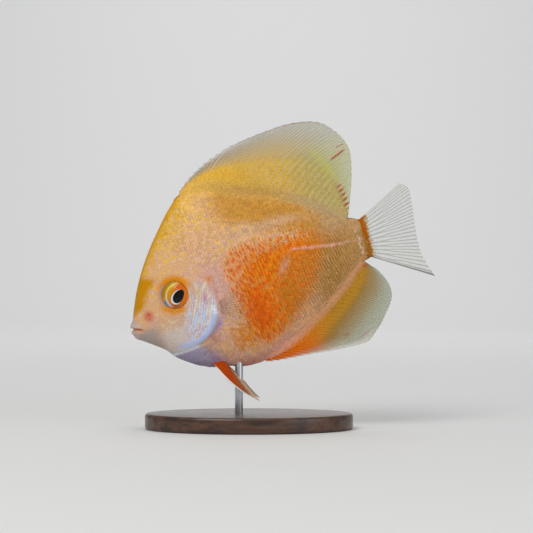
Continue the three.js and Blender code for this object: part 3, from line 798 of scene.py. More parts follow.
# %% Model the stand
def rounded_cylinder(name, node, sides, round_by, steps):
    """A cylinder that fills a solid's box, with both rims rounded."""
    low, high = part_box(node)
    size, centre = high - low, (low + high) / 2
    bpy.ops.object.select_all(action="DESELECT")
    bpy.ops.mesh.primitive_cylinder_add(vertices=sides, radius=0.5, depth=1, location=centre)
    piece = bpy.context.active_object
    piece.name = name
    piece.data.name = name
    piece.scale = size
    bpy.ops.object.transform_apply(location=True, rotation=True, scale=True)
    rounding = piece.modifiers.new("rounding", "BEVEL")
    rounding.width = round_by * MM
    rounding.segments = steps
    rounding.limit_method = "ANGLE"
    rounding.angle_limit = math.radians(50)
    bpy.ops.object.modifier_apply(modifier=rounding.name)
    bpy.ops.object.shade_smooth_by_angle(angle=math.radians(35))
    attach(piece, "root")
    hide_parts(node)
    print(name, "size in metres:", [round(float(s), 4) for s in size])
    return piece


base = rounded_cylinder("walnut_base", "stand_base", 144, 1.5, 5)
rod = rounded_cylinder("steel_rod", "stand_rod", 48, 0.3, 2)

# %% [markdown]
# ## Paint
#
# A fish's colours are soft patches and fine marks, and no picture of them is used: each patch
# is a sum over the place on the flank. A small class wraps a number socket, so that such a sum
# is written as it would be on paper, and each operator adds its own Math node.


# %% Numbers in a node tree
class Number:
    """A number in a material's node tree."""

    def __init__(self, paint, socket):
        self.paint, self.socket = paint, socket

    def _math(self, operation, *values):
        return self.paint.math(operation, *values)

    def __add__(self, other):
        return self._math("ADD", self, other)

    __radd__ = __add__

    def __sub__(self, other):
        return self._math("SUBTRACT", self, other)

    def __rsub__(self, other):
        return self._math("SUBTRACT", other, self)

    def __mul__(self, other):
        return self._math("MULTIPLY", self, other)

    __rmul__ = __mul__

    def __truediv__(self, other):
        return self._math("DIVIDE", self, other)

    def __rtruediv__(self, other):
        return self._math("DIVIDE", other, self)

    def __pow__(self, other):
        return self._math("POWER", self, other)

    def __rpow__(self, other):
        return self._math("POWER", other, self)

    def __neg__(self):
        return self * -1

    def at_most(self, other):
        return self._math("MINIMUM", self, other)

    def at_least(self, other):
        return self._math("MAXIMUM", self, other)

    def sine(self):
        return self._math("SINE", self)

    def soft(self, low, high):
        """0 below low, 1 above high and a soft step between; low may be the larger."""
        if low > high:
            return 1 - self.soft(high, low)
        return self.paint.node(
            "ShaderNodeMapRange", {"interpolation_type": "SMOOTHSTEP"},
            {0: self, 1: low, 2: high, 3: 0.0, 4: 1.0},
        )

    def hill(self, at, width):
        """A round hill of height 1 about a place."""
        away = (self - at) / width
        return self._math("EXPONENT", -(away * away))

    def along(self, pairs):
        """Follows a smooth curve through (x, y) pairs."""
        xs, ys = [p[0] for p in pairs], [p[1] for p in pairs]
        x0, x1, y0, y1 = xs[0], xs[-1], min(ys), max(ys)
        share = (self - x0) / (x1 - x0)
        out = self.paint.shape(share, [((x - x0) / (x1 - x0), (y - y0) / (y1 - y0))
                                       for x, y in pairs])
        return out * (y1 - y0) + y0


# %% Materials written as sums
WET_GLOSS = 0.1  # under water a wet skin hardly mirrors its surroundings


class Paint:
    """A material whose nodes are added by writing sums."""

    def __init__(self, name):
        self.material = bpy.data.materials.new(name)
        self.material.use_nodes = True
        self.tree = self.material.node_tree
        self.shader = self.tree.nodes["Principled BSDF"]

    def link(self, value, socket):
        if isinstance(value, Number):
            value = value.socket
        if isinstance(value, bpy.types.NodeSocket):
            self.tree.links.new(value, socket)
        else:
            socket.default_value = value

    def node(self, kind, settings=None, inputs=None, output=0):
        """Adds a node of a kind, with its settings and the values or links of its sockets."""
        node = self.tree.nodes.new(kind)
        for key, value in (settings or {}).items():
            setattr(node, key, value)
        for key, value in (inputs or {}).items():
            self.link(value, node.inputs[key])
        return Number(self, node.outputs[output])

    def math(self, operation, *values):
        return self.node("ShaderNodeMath", {"operation": operation}, dict(enumerate(values)))

    def shape(self, share, stops):
        """Follows a smooth curve through stops that run from 0 to 1."""
        out = self.node("ShaderNodeFloatCurve", {}, {"Value": share})
        mapping = out.socket.node.mapping
        line = mapping.curves[0]
        line.points[0].location, line.points[1].location = stops[0], stops[-1]
        for stop in stops[1:-1]:
            line.points.new(*stop)
        mapping.update()
        return out

    def mix(self, under, over, share):
        """Lays one colour over another."""
        return self.node("ShaderNodeMix", {"data_type": "RGBA"},
                         {0: share, 6: under, 7: over}, output=2).socket

    def lit(self, colour, factor):
        """The same colour, lighter or darker by a factor."""
        return self.node("ShaderNodeVectorMath", {"operation": "SCALE"},
                         {0: colour, "Scale": factor}).socket

    def noise(self, vector, scale, detail=2.0, roughness=0.5):
        return self.node(
            "ShaderNodeTexNoise", {},
            {"Vector": vector, "Scale": scale, "Detail": detail, "Roughness": roughness},
        )

    def number(self, name):
        return self.node("ShaderNodeAttribute", {"attribute_name": name}, output=2)

    def parts(self, vector):
        return [self.node("ShaderNodeSeparateXYZ", {}, {0: vector}, output=i) for i in range(3)]

    def vector(self, name):
        return self.parts(self.node("ShaderNodeAttribute", {"attribute_name": name}, output=1))

    def join(self, x, y, z=0.0):
        return self.node("ShaderNodeCombineXYZ", {}, {0: x, 1: y, 2: z})

    def place(self):
        """Room coordinates of the surface in millimetres."""
        return [part * 1000 for part in self.parts(self.node("ShaderNodeTexCoord", output=3))]

    def flank(self):
        """The fish's own a and b, worked out from the place in the room."""
        x, _, z = self.place()
        x, z = x - MOUTH_X, z - MOUTH_Z
        c, s = math.cos(PITCH), math.sin(PITCH)
        return x * c + z * s, z * c - x * s

    def dress(self, colour, roughness, gloss=WET_GLOSS):
        """Sends a colour and a roughness to the shader, and sets how strongly it mirrors."""
        self.link(colour, self.shader.inputs["Base Color"])
        self.link(roughness, self.shader.inputs["Roughness"])
        self.shader.inputs["Specular IOR Level"].default_value = gloss

    def relief(self, height, strength, distance):
        bumps = {"Strength": strength, "Distance": distance, "Height": height}
        self.link(self.node("ShaderNodeBump", {}, bumps), self.shader.inputs["Normal"])

    def finish(self, *pieces):
        for piece in pieces:
            piece.data.materials.clear()
            piece.data.materials.append(self.material)
        print(self.material.name, "on", len(pieces), "pieces,", len(self.tree.nodes), "nodes")


# %% Colours, and a coat of layers
PLAIN_GLOSS = 0.5


def tint(red, green, blue):
    """A colour from its screen values, 0 to 255."""
    parts = [v / 255 for v in (red, green, blue)]
    return (*[v / 12.92 if v <= 0.04045 else ((v + 0.055) / 1.055) ** 2.4 for v in parts], 1)


class Coat:
    """A colour built up in layers, each one over those before it."""

    def __init__(self, paint, ground):
        self.paint, self.colour = paint, ground

    def lay(self, colour, share):
        self.colour = self.paint.mix(self.colour, colour, share)


print("mid grey on the screen is", round(tint(128, 128, 128)[0], 3), "in light")

# %% [markdown]
# ## Markings of the flank
#
# The colours are laid on in the order that a painter would use: the pale ground first, then
# the broad gold and orange patches, then the small marks. Bare skin and scales share one sum
# over the place on the flank, so a mark runs on from skin to scale. All places and widths in
# these sums are millimetres of the fish's own frame, as a and b are.

# %% Colours and lines of the fish
PEACH, STRAW, ROSE = tint(228, 178, 128), tint(240, 192, 76), tint(216, 168, 162)
GOLD, DEEP_GOLD, TAN = tint(228, 172, 40), tint(208, 142, 0), tint(202, 144, 54)
ORANGE, AMBER, BROWN = tint(222, 94, 0), tint(234, 134, 14), tint(166, 122, 46)
CREAM, PALE_BLUE, LILAC = tint(236, 222, 182), tint(192, 212, 240), tint(168, 140, 164)
BACK_STOPS = [(-1, -1), (4, 8), (9, 17), (15, 25.3), (22.6, 34.2), (30.4, 41.9), (38, 48.8),
              (44.5, 53.1), (51, 54), (60, 51.8), (75, 44.8), (90, 37.6), (102.5, 29),
              (111, 21.8), (119, 13.9), (126, 10.6)]
BELLY_STOPS = [(-1, -5), (7.3, -12), (14, -20), (24.7, -29.2), (40.6, -35.6), (54.2, -38.9),
               (70.6, -35.1), (89.5, -27.6), (108.3, -17.6), (121.6, -9.6), (126, -9)]
ARC_STOPS = [(50, 24), (62, 25), (80, 24.4), (94, 23), (105, 19), (120, 10)]
ZONE_TOP = [(50, 13), (56, 18), (64, 21), (78, 21), (94, 19), (104, 15), (116, 9)]
ZONE_LOW = [(50, -26), (58, -32), (68, -31), (80, -25), (90, -18), (98, -8), (107, 4), (116, 8)]
SIDE_LINE = [(86, 8.8), (91, 7.8), (101.8, 4.9), (114.2, 2.2), (126, 0.5)]


def back_tone(paint, a):
    """The colour along the line of the back, shared by the flank and the dorsal fin."""
    tone = paint.mix(tint(236, 188, 92), tint(210, 164, 84), a.soft(50, 76))
    return paint.mix(tone, tint(198, 168, 118), a.soft(84, 108))


def belly_tone(paint, a):
    """The pink along the line of the belly, shared by the flank and the anal fin."""
    return paint.mix(tint(226, 164, 140), tint(210, 154, 112), a.soft(62, 90))


# %% Places, noises and dashes
def dashes(paint, a, b, apart, long, size):
    """Upright dashes, a distance apart across and long along the flank, of a given size."""
    spot = paint.join((a + b * 0.06) / apart, b / long)
    away = paint.node(
        "ShaderNodeTexVoronoi", {"voronoi_dimensions": "2D"},
        {"Vector": spot, "Scale": 1.0, "Randomness": 0.85},
    )
    return (size + 0.1 - away).soft(0.0, 0.2)


class Spot:
    """A place on the fish, with the noises that fray its marks and the zone of the dashes."""

    def __init__(self, paint, a, b):
        self.a, self.b = a, b
        here = paint.join(a, b)
        self.cloud = paint.noise(here, 0.12, 3.0)
        self.mottle = paint.noise(here, 0.42, 4.0, 0.65)
        self.fleck = paint.noise(paint.join(a + 60, b), 0.36, 3.0, 0.6)
        self.wobble = (paint.noise(here, 0.35, 2.0) - 0.5) * 3.0
        self.ragged = (self.cloud - 0.5) * 12
        self.frayed = (self.mottle - 0.5) * 8
        self.below_back = a.along(BACK_STOPS) - b
        self.above_belly = b - a.along(BELLY_STOPS)
        self.top, self.low = a.along(ZONE_TOP), a.along(ZONE_LOW)
        self.zone = (a + self.ragged * 0.25).soft(50, 57) * (self.top - b).soft(-1, 5)
        self.zone = self.zone * (b - self.low).soft(-3, 7)
        self.small = dashes(paint, a + self.wobble * 0.3, b, 1.5, 2.4,
                            0.2 + (self.mottle - 0.5) * 0.5)


# %% Pale ground, tan above and brown behind
def lay_ground(paint, spot):
    """The broad patches that everything else lies on."""
    a, b, cloud, mottle = spot.a, spot.b, spot.cloud, spot.mottle
    warm = (mottle + cloud - 0.5).soft(0.44, 0.7) * b.soft(-4, 16) * 0.8
    coat = Coat(paint, paint.mix(PEACH, STRAW, warm))
    coat.lay(ROSE, (mottle + (0.5 - cloud) * 0.8).soft(0.5, 0.3) * 0.7)
    coat.lay(ROSE, (a.hill(47, 11) * b.hill(6, 15)).at_most(1) * 0.8)
    coat.lay(tint(238, 212, 196), spot.fleck.soft(0.56, 0.72) * a.soft(62, 46) * 0.6)
    upper = (spot.below_back + spot.ragged * 0.5).soft(24, 14) * a.soft(50, 66) * a.soft(122, 106)
    coat.lay(TAN, upper * 0.95)
    coat.lay(STRAW, spot.below_back.soft(22, 6) * a.soft(58, 46) * a.soft(24, 34) * 0.6)
    coat.lay(BROWN, a.soft(84, 100) * b.soft(14, 4))
    specks = dashes(paint, a + spot.wobble * 0.3, b, 1.5, 2.2, 0.24)
    coat.lay(tint(200, 112, 0), specks * upper * (cloud + 0.2) * a.soft(64, 84) * 0.8)
    arc = (b - a.along(ARC_STOPS)).hill(0, 2.6)
    coat.lay(tint(212, 170, 132), arc * a.soft(54, 64) * a.soft(108, 88) * 0.8)
    return coat


# %% The orange zone and its dashes
def lay_dashes(coat, spot, chance):
    """Orange in the middle of the flank, broken into upright dashes."""
    paint, a, b, mottle, zone = coat.paint, spot.a, spot.b, spot.mottle, spot.zone
    core = (a.hill(64, 10) * b.hill(-14, 21)).at_least(a.hill(73, 15) * b.hill(4, 10) * 0.9)
    core = core.at_least(a.hill(88, 13) * b.hill(9, 5) * 0.9)
    coat.lay(tint(224, 150, 92), zone * a.soft(88, 66) * 0.85)
    coat.lay(tint(202, 122, 16), zone * a.soft(60, 78) * b.soft(18, 6) * 0.95)
    heat = (core + (spot.fleck - 0.5) * 2.0).soft(0.2, 0.8)
    coat.lay(AMBER, heat * zone * 0.9)
    pink_a, pink_b = (a - 82) * 0.68 + (b - 2) * 0.73, (b - 2) * 0.68 - (a - 82) * 0.73
    gap = pink_a.hill(0, 5) * (pink_b + spot.wobble * 0.4).hill(0, 1.8)
    coat.lay(tint(214, 152, 116), gap)
    size = 0.08 + zone * 0.14 + core * 0.12 + (mottle - 0.5) * 0.3 + (chance - 0.5) * 0.04
    bent = a + spot.wobble * 0.6
    marks = dashes(paint, bent, b, 1.9, 4.6, size - gap * 0.3)
    marks = marks.at_least(dashes(paint, bent + 31, b + 17, 1.6, 6.0, size - 0.05 - gap * 0.3))
    marks = marks * zone.soft(0.05, 0.5) * a.soft(116, 84)
    coat.lay(ORANGE, marks * (0.5 + mottle * 0.6).at_most(1))
    deep = (a.hill(63, 8) * b.hill(-14, 17) + (mottle - 0.5) * 1.8).soft(0.3, 1.0)
    coat.lay(tint(220, 86, 0), deep * zone * 0.7)


def lay_stripes(coat, spot):
    """Small marks at the rear of the flank, and fine stripes below the zone of the dashes."""
    a, b, low = spot.a, spot.b, spot.low
    rear = a.soft(74, 90) * a.soft(124, 112) * (b - low).soft(-12, 2)
    rear = rear * (spot.top + 5 - b).soft(0, 5)
    coat.lay(tint(206, 112, 6), spot.small * rear * 0.85)
    stripes = ((a + b * 0.2 + spot.wobble * 0.7) * (2 * math.pi / 1.45)).sine().soft(-0.8, 1.0)
    lined = a.soft(70, 84) * (low + 7 - b).soft(-4, 5) * spot.above_belly.soft(1, 5)
    coat.lay(tint(160, 106, 18), (1 - stripes) * lined * 0.42)
    coat.lay(tint(212, 168, 134), stripes * lined * spot.mottle.soft(0.3, 0.7) * 0.55)


# %% Belly, back edge and tail stalk
def lay_edges(coat, spot):
    """Golden foreflank, lilac breast, and the tones along the belly and the back."""
    paint, a, b, mottle = coat.paint, spot.a, spot.b, spot.mottle
    belly = spot.above_belly + spot.ragged * 0.3
    gilt = (a.hill(51, 9) * b.hill(-24, 9) + (mottle - 0.5) * 2.4).soft(0.3, 1.1)
    coat.lay(tint(218, 130, 30), gilt * (spot.zone * 2 + a.hill(50, 8)).at_most(1) * 0.9)
    coat.lay(tint(206, 148, 132), belly.soft(8, 1.5) * a.soft(36, 46) * a.soft(80, 66))
    hem = (spot.above_belly + (mottle - 0.5) * 4).soft(5.0, 1.2)
    coat.lay(belly_tone(paint, a), hem * a.soft(50, 62) * 0.85)
    coat.lay(LILAC, belly.soft(13, 4) * a.soft(44, 33) * a.soft(8, 15) * 0.95)
    crown = (spot.below_back + (spot.fleck - 0.5) * 9).soft(7, 0)
    coat.lay(back_tone(paint, a), crown * a.soft(40, 52) * 0.95)


def lay_tail_stalk(coat, spot):
    """The pale line along the rear of the flank, and the stalk with the bar at its end."""
    a, b, mottle, fleck = spot.a, spot.b, spot.mottle, spot.fleck
    line = (b - a.along(SIDE_LINE) + (mottle - 0.5) * 1.4).hill(0, 0.75)
    coat.lay(tint(232, 172, 156), line * a.soft(86, 91) * fleck.soft(0.2, 0.6) * 0.9)
    coat.lay(tint(180, 154, 120), a.soft(98, 112) * b.soft(4, 12) * fleck.soft(0.2, 0.6) * 0.7)
    stalk = a.soft(108, 119)
    coat.lay(tint(184, 144, 90), stalk * (mottle * 0.8 + 0.15).at_most(0.8))
    coat.lay(tint(206, 116, 20), stalk * spot.small * 0.75)
    silver = (a - b * 0.1 + spot.ragged * 0.1).hill(121.6, 0.9) * mottle.soft(0.44, 0.58)
    coat.lay(tint(222, 214, 206), silver * b.soft(9, 6) * b.soft(-8, -5) * 0.8)
    bar = (a + (mottle - 0.5) * 9 - 124.0 - b * 0.14).soft(-0.7, 0.8)
    coat.lay(tint(160, 102, 0), bar)
    coat.lay(tint(228, 196, 120), bar * mottle.soft(0.6, 0.68) * 0.8)


# %% [markdown]
# ## Markings of the head
#
# The head has no dashes. A gold brow and snout, a flushed nostril and an orange ring round the
# eye lie over the peach ground. The bony gill cover shines through thin skin in wandering
# streaks, cream in front and blue below: a noise that is stretched along arcs about a point in
# front of the mouth, which no straight stripe could follow.


# %% Brow, cheek and mouth
def lay_face(coat, spot):
    """Gold brow and snout, pale cheek, grey chin and rosy lips."""
    a, b, mottle, fleck, frayed = spot.a, spot.b, spot.mottle, spot.fleck, spot.frayed
    rim = (spot.below_back + (fleck - 0.5) * 30).soft(9, 0) * a.soft(50, 42)
    coat.lay(GOLD, rim * (b + frayed * 0.3).soft(17, 26) * 0.9)
    edge = spot.below_back.soft(3.0, 0.4) * b.soft(14, 20) * a.soft(47, 40)
    coat.lay(DEEP_GOLD, edge * 0.7)
    wedge = b.along([(4, 4), (6.4, 8.5), (8.4, 10.6), (12.6, 13), (16.5, 18), (18.5, 20.6),
                     (23, 20)]) - a
    front = (wedge + frayed * 0.7).soft(-3.4, 3.0) * (b + frayed * 0.3 - a * 0.3).soft(1.5, 6)
    front = front * (21.8 - (a - 13.2) * 0.6 - b + frayed * 0.7).soft(-3.0, 2.2)
    coat.lay(DEEP_GOLD, front)
    cheek = a.soft(33, 27) * b.soft(3, -5)
    coat.lay(tint(214, 176, 148), cheek * (mottle * 0.8 + 0.4).at_most(1) * 0.9)
    coat.lay(tint(222, 146, 122), cheek * fleck.soft(0.46, 0.3) * 0.6)
    coat.lay(tint(228, 208, 164), cheek * fleck.soft(0.48, 0.66) * a.soft(12, 17) * 0.7)
    coat.lay(tint(212, 202, 196), cheek * b.soft(-5, -10) * a.soft(10, 15) * 0.75)
    coat.lay(tint(172, 160, 158), b.soft(-2, -6) * a.soft(15, 8) * 0.9)
    muzzle = ((a + 0.5) * (a + 0.5) + (b + 1) * (b + 1)) ** 0.5
    coat.lay(tint(204, 180, 168), muzzle.soft(6.5, 3.8))
    gape = b - a.along([(-1, -0.9), (0.6, -1.0), (5.2, -2.9), (9, -4)])
    coat.lay(tint(208, 128, 84), gape.hill(-0.4, 0.9) * a.soft(7.4, 4) * 0.75)


# %% Round the eye and the nostril
def lay_eye_ring(coat, spot):
    """The orange ring and the lid round the eye, a painted shade in front of it, and the flush
    round the nostril.
    """
    a, b, mottle, frayed = spot.a, spot.b, spot.mottle, spot.frayed
    eye_a, eye_b = a - EYE_AT[0], b - EYE_AT[1]
    from_eye = (eye_a * eye_a + eye_b * eye_b) ** 0.5
    upright = (eye_b + eye_a * 0.38) / from_eye.at_least(0.5)
    around = upright.soft(-0.2, 0.8) + upright.soft(-0.5, -1.0) * 0.75
    ring = (from_eye + frayed * 0.35).soft(11.4, 7.4) * (around + 0.16) * (mottle + 0.6)
    coat.lay(tint(226, 142, 22), ring.at_most(1))
    level = (eye_a * 0.93 - eye_b * 0.36) / from_eye.at_least(0.5)
    lid = (from_eye + frayed * 0.2).soft(9.4, 7.2) * level.soft(0.5, 0.95)
    coat.lay(tint(232, 176, 92), lid * 0.8)
    # Painted shade: the front edge of the socket is painted greyish.
    coat.lay(tint(180, 150, 134), from_eye.soft(8.6, 7.2) * level.soft(-0.5, -0.9) * 0.8)
    coat.lay(tint(214, 108, 0), from_eye.soft(7.2, 6.6) * level.soft(-0.4, 0.2))
    flush_a, flush_b = a - NOSTRIL_AT[0], b - NOSTRIL_AT[1] + 0.5
    flush = (flush_a * flush_a + flush_b * flush_b) ** 0.5
    coat.lay(tint(214, 112, 88), (flush + frayed * 0.2).soft(4.0, 1.0) * 0.85)
    pore = ((a - NOSTRIL_AT[0]) ** 2 + (b - NOSTRIL_AT[1]) ** 2) ** 0.5
    coat.lay(tint(140, 64, 48), pore.soft(0.7, 0.3) * 0.5)


# %% The gill cover
def lay_gill_cover(coat, spot):
    """Streaks that wander down the gill cover, a painted shade past its edge, and the throat below
    it with a painted highlight.
    """
    a, b, mottle, frayed = spot.a, spot.b, spot.mottle, spot.frayed
    gill_a, gill_b = a - GILL_CENTRE[0], b - GILL_CENTRE[1]
    reach = (gill_a * gill_a + gill_b * gill_b) ** 0.5
    cover = reach.soft(GILL_RADIUS + 0.4, GILL_RADIUS - 0.8) * (b + frayed * 0.3).soft(13, 5)
    left = b.along([(-20, 13), (-14.9, 21.7), (-9.3, 26.3), (-0.8, 30), (8.4, 34.5), (14, 37)])
    cover = cover * (a - left + frayed * 0.4).soft(-3, 3)
    sweep = ((a + 4.6) ** 2 + (b - 17) ** 2) ** 0.5
    wander = coat.paint.join(sweep * 0.62 + (mottle - 0.5) * 1.3, b * 0.08)
    streak = coat.paint.noise(wander, 1.0, 2.0, 0.6)
    coat.lay(tint(212, 192, 190), cover * 0.9)
    coat.lay(CREAM, cover * streak.soft(0.5, 0.6) * b.soft(-17, -5) * 0.85)
    blue = streak.soft(0.52, 0.4).at_least((sweep + b * 0.25).soft(42, 47) * 0.4) * 0.85
    coat.lay(PALE_BLUE, cover * blue * b.soft(2, -6))
    coat.lay(ROSE, cover * b.soft(-3, 5) * a.soft(36, 42) * 0.5)
    coat.lay(tint(196, 152, 170), cover * streak.hill(0.5, 0.025) * 0.65)
    fine = (sweep * 5.2 + frayed * 1.6).sine().soft(0.1, 1) * mottle.soft(0.4, 0.62)
    coat.lay(tint(244, 244, 248), cover * fine * b.soft(8, -2) * 0.8)
    hem = (reach - 16.0 + frayed * 1.1).hill(0, 1.2) * b.soft(-6, -12) * a.soft(20, 25)
    coat.lay(tint(214, 228, 250), hem * 0.7)
    edge = cover * (reach + frayed * 0.5).soft(14.4, 17.4) * b.soft(-4, -9)
    coat.lay(tint(174, 190, 236), edge * 0.75)
    lay_gill_marks(coat, spot)
    # Painted shade: a purple band on the flank just past the free edge of the gill cover.
    outside = (reach - GILL_RADIUS + frayed * 0.4).hill(1.6, 1.6)
    coat.lay(tint(158, 134, 184), outside * b.hill(-14, 4) * a.soft(30, 36) * 0.85)
    blush = a.hill(37.6, 3.2) * b.hill(-19.8, 3.0) * mottle.soft(0.3, 0.6)
    coat.lay(tint(180, 116, 124), blush * 0.7)
    below = (b + 20.8).soft(0.8, -0.8) * a.soft(13, 16) * a.soft(38, 26)
    coat.lay(tint(152, 144, 184), below * 0.75)
    # Painted highlight: a pale line along the lower edge of the gill cover at the throat.
    throat = (b + 19.8 + frayed * 0.06).hill(0, 0.9) * a.soft(13, 16) * a.soft(30, 27)
    coat.lay(tint(236, 242, 255), throat * 0.95)


def lay_gill_marks(coat, spot):
    """The few single marks on the gill cover: a painted highlight, pink, gold, cream and orange.
    """
    a, b, mottle, frayed = spot.a, spot.b, spot.mottle, spot.frayed
    # Painted highlight: a ragged white patch near the cover's free edge.
    gill_highlight = a.hill(42.6, 1.5) * (b + 6.4).hill(0, 3.0) * mottle.soft(0.42, 0.56)
    coat.lay(tint(246, 250, 255), gill_highlight.at_most(1))
    pink = a.hill(39.8, 1.1) * b.hill(0.2, 2.6) * mottle.soft(0.36, 0.5)
    coat.lay(tint(190, 124, 164), pink * 0.8)
    coat.lay(tint(230, 178, 66), a.hill(36.9, 0.9) * b.hill(5.5, 2.4) * 0.7)
    cream = (a - b * 0.9 - 35.5 + frayed * 0.2).hill(0, 1.0) * b.hill(6.6, 2.6)
    coat.lay(tint(230, 224, 180), cream * 0.9)
    dot = (a + frayed * 0.2).hill(45.0, 1.3) * (b + frayed * 0.2).hill(9.4, 1.6)
    coat.lay(tint(224, 124, 26), dot * 0.9)


# %% Paint the skin and the scales
def markings(paint, a, b, chance):
    """The colour of the fish at the place a, b. The chance differs from scale to scale."""
    spot = Spot(paint, a, b)
    coat = lay_ground(paint, spot)
    lay_dashes(coat, spot, chance)
    for layer in (lay_stripes, lay_edges, lay_tail_stalk, lay_face, lay_eye_ring, lay_gill_cover):
        layer(coat, spot)
    return coat.colour


def coat_of_skin(name, on_scales):
    """The same markings on bare skin and on scales. Scales also differ a little each and get
    painted light and shade.
    """
    paint = Paint(name)
    a, b = paint.flank()
    here = paint.join(a, b)
    chance = paint.number("chance") if on_scales else paint.noise(here, 0.8, 0.0)
    colour = markings(paint, a, b, chance)
    fine = paint.noise(here, 1.5, 4.0, 0.7)
    if on_scales:
        rim = paint.number("rim")
        # Painted highlight: the free rear edges of the scales on the lower rear flank are painted
        # paler.
        painted_rim_sheen = rim.soft(0.7, 1.0) * a.soft(76, 98) * b.soft(12, -2)
        colour = paint.mix(colour, tint(216, 176, 140), painted_rim_sheen * 0.3)
        # Painted light and shade on each scale: lighter at its free edge, darker at its root under
        # the scale in front, with a random tone from its chance.
        colour = paint.lit(colour, 0.99 + (chance - 0.5) * 0.26 + (rim - 0.5) * 0.24)
    colour = paint.lit(colour, 1 + (fine - 0.5) * 1.2)
    paint.dress(colour, 0.42 + (fine - 0.5) * 0.2)
    paint.relief(fine, 0.2, 0.0003)
    return paint


coat_of_skin("discus_skin", on_scales=False).finish(skin_piece)
coat_of_skin("discus_scales", on_scales=True).finish(*flank_coat)

# %% [markdown]
# ## Fin paint
#
# The foot of the dorsal and anal fin is gold and solid. Beyond it only the rays stay opaque,
# and the web between them lets light through. Each point of a fin knows how far out it lies
# and how high it stands on a ray, so the paint follows the rays however they bend.

# %% Colours of the fins' feet
YELLOW_STREAK = [(12, 121), (26, 125), (34, 122.9), (39.3, 120.4), (47.6, 117.9), (56, 112)]
RED_DOTS = [(16, 120.8), (20, 122.4), (25, 122.5), (31, 122), (37, 122)]


def dorsal_gold(paint, a, b, mottle, ray):
    """The gold foot of the dorsal fin, duller and greener to the rear."""
    rear = (a + (mottle - 0.5) * 30).soft(62, 84)
    coat = Coat(paint, paint.mix(tint(244, 200, 88), tint(224, 178, 72), rear))
    coat.lay(tint(190, 170, 98), a.soft(92, 116))
    lines = (ray * (2 * math.pi) + (mottle - 0.5) * 3).sine().soft(-0.4, 0.9) * a.soft(70, 92)
    coat.lay(tint(214, 200, 154), lines * 0.45)
    above = b - a.along(BACK_STOPS)
    coat.lay(tint(236, 172, 40), above.hill(8, 4) * a.soft(90, 70) * 0.4)
    coat.lay(back_tone(paint, a), (above + (mottle - 0.5) * 6).soft(6.5, 0.5))
    streak = (a - b.along(YELLOW_STREAK)).hill(0, 2.4)
    coat.lay(tint(210, 200, 40), streak * b.soft(24, 32) * 0.85)
    return coat.colour


def anal_gold(paint, a, b, mottle, ray):
    """The orange foot of the anal fin, with a pink line along its root."""
    rear = (a + (mottle - 0.5) * 24).soft(74, 100)
    coat = Coat(paint, paint.mix(tint(230, 120, 0), tint(186, 130, 22), rear))
    below = a.along(BELLY_STOPS) - b
    olive = (below + (mottle - 0.5) * 6).soft(6, 13) * a.soft(76, 92)
    coat.lay(tint(146, 116, 52), olive * 0.8)
    lines = (ray * (4 * math.pi) + (mottle - 0.5) * 3).sine().soft(-0.4, 0.9) * a.soft(66, 84)
    coat.lay(tint(206, 168, 96), lines * 0.3)
    coat.lay(belly_tone(paint, a), (below + (mottle - 0.5) * 4).soft(3.4, 0.2) * 0.9)
    return coat.colour


# %% A paint that knows its place on a fin
class FinPaint(Paint):
    """Also knows how far out a point lies, how high on a ray, and by which ray."""

    def __init__(self, name):
        super().__init__(name)
        self.a, self.b = self.flank()
        self.grain = self.noise(self.join(self.a, self.b), 0.7, 4.0, 0.65)
        self.reach, self.crest = self.number("reach"), self.number("crest")
        self.ray = self.number("ray")

    def seen(self, colour, solid, *pieces):
        """Dresses pieces in a colour, with the web as clear as solid is low."""
        self.dress(colour, 0.46 + (self.grain - 0.5) * 0.2)
        self.link(solid.at_most(1), self.shader.inputs["Alpha"])
        self.finish(*pieces)


# %% Paint the dorsal fin
def dorsal_reds(a, b, grain):
    """Two red streaks in the web, and a row of dots along the rear edge."""
    streak = (b - 43.4 - (a - 122.9) * 0.29).hill(0, 0.55) * a.soft(122.4, 123.4)
    streak = streak * a.soft(133.4, 129)
    second = (b - 48.2 - (a - 127.5) * 0.11).hill(0, 0.4) * a.soft(127, 128) * a.soft(132.4, 131)
    dots = (a - b.along(RED_DOTS)).hill(0, 1.8)
    dots = dots * ((b - a * 0.3) * (2 * math.pi / 2.5)).sine().soft(-0.2, 0.7)
    dots = dots * b.soft(16.5, 18) * b.soft(34, 28) * (grain + 0.5)
    return streak.at_least(second * 0.7).at_least(dots.at_most(1))


def paint_dorsal():
    paint = FinPaint("dorsal_membrane")
    a, b, grain, reach, crest, ray = (
        paint.a, paint.b, paint.grain, paint.reach, paint.crest, paint.ray)
    sheath = (ray / (DORSAL_RAYS - 1)).along(DORSAL_SHEATH)
    foot = (sheath + (grain - 0.5) * 0.3 - reach).soft(-0.2, 0.08)
    outer = (reach + (grain - 0.5) * 0.3).soft(0.5, 0.95)
    coat = Coat(paint, paint.mix(tint(208, 178, 110), tint(176, 172, 148), outer))
    coat.lay(tint(190, 188, 104), a.soft(106, 118) * b.soft(60, 44) * 0.9)
    coat.lay(tint(150, 104, 74), crest.soft(0.5, 0.0) * ray.soft(20, 10) * 0.5)
    coat.lay(tint(226, 220, 204), crest.soft(0.2, 0.9) * 0.6)
    coat.lay(dorsal_gold(paint, a, b, grain, ray), foot)
    tips = (reach + (grain - 0.5) * 0.1).soft(0.8, 0.95) * ray.soft(14, 8)
    coat.lay(tint(232, 226, 222), tips * 0.8)
    coat.lay(tint(164, 92, 66), reach.soft(0.95, 0.985) * ray.soft(22, 16) * 0.8)
    reds = dorsal_reds(a, b, grain)
    coat.lay(tint(180, 52, 0), reds * 0.95)
    solid = 0.7 + crest * 0.2 - reach.soft(0.5, 1.0) * 0.3
    paint.seen(coat.colour, foot.at_least(solid).at_least(reds), dorsal)


paint_dorsal()


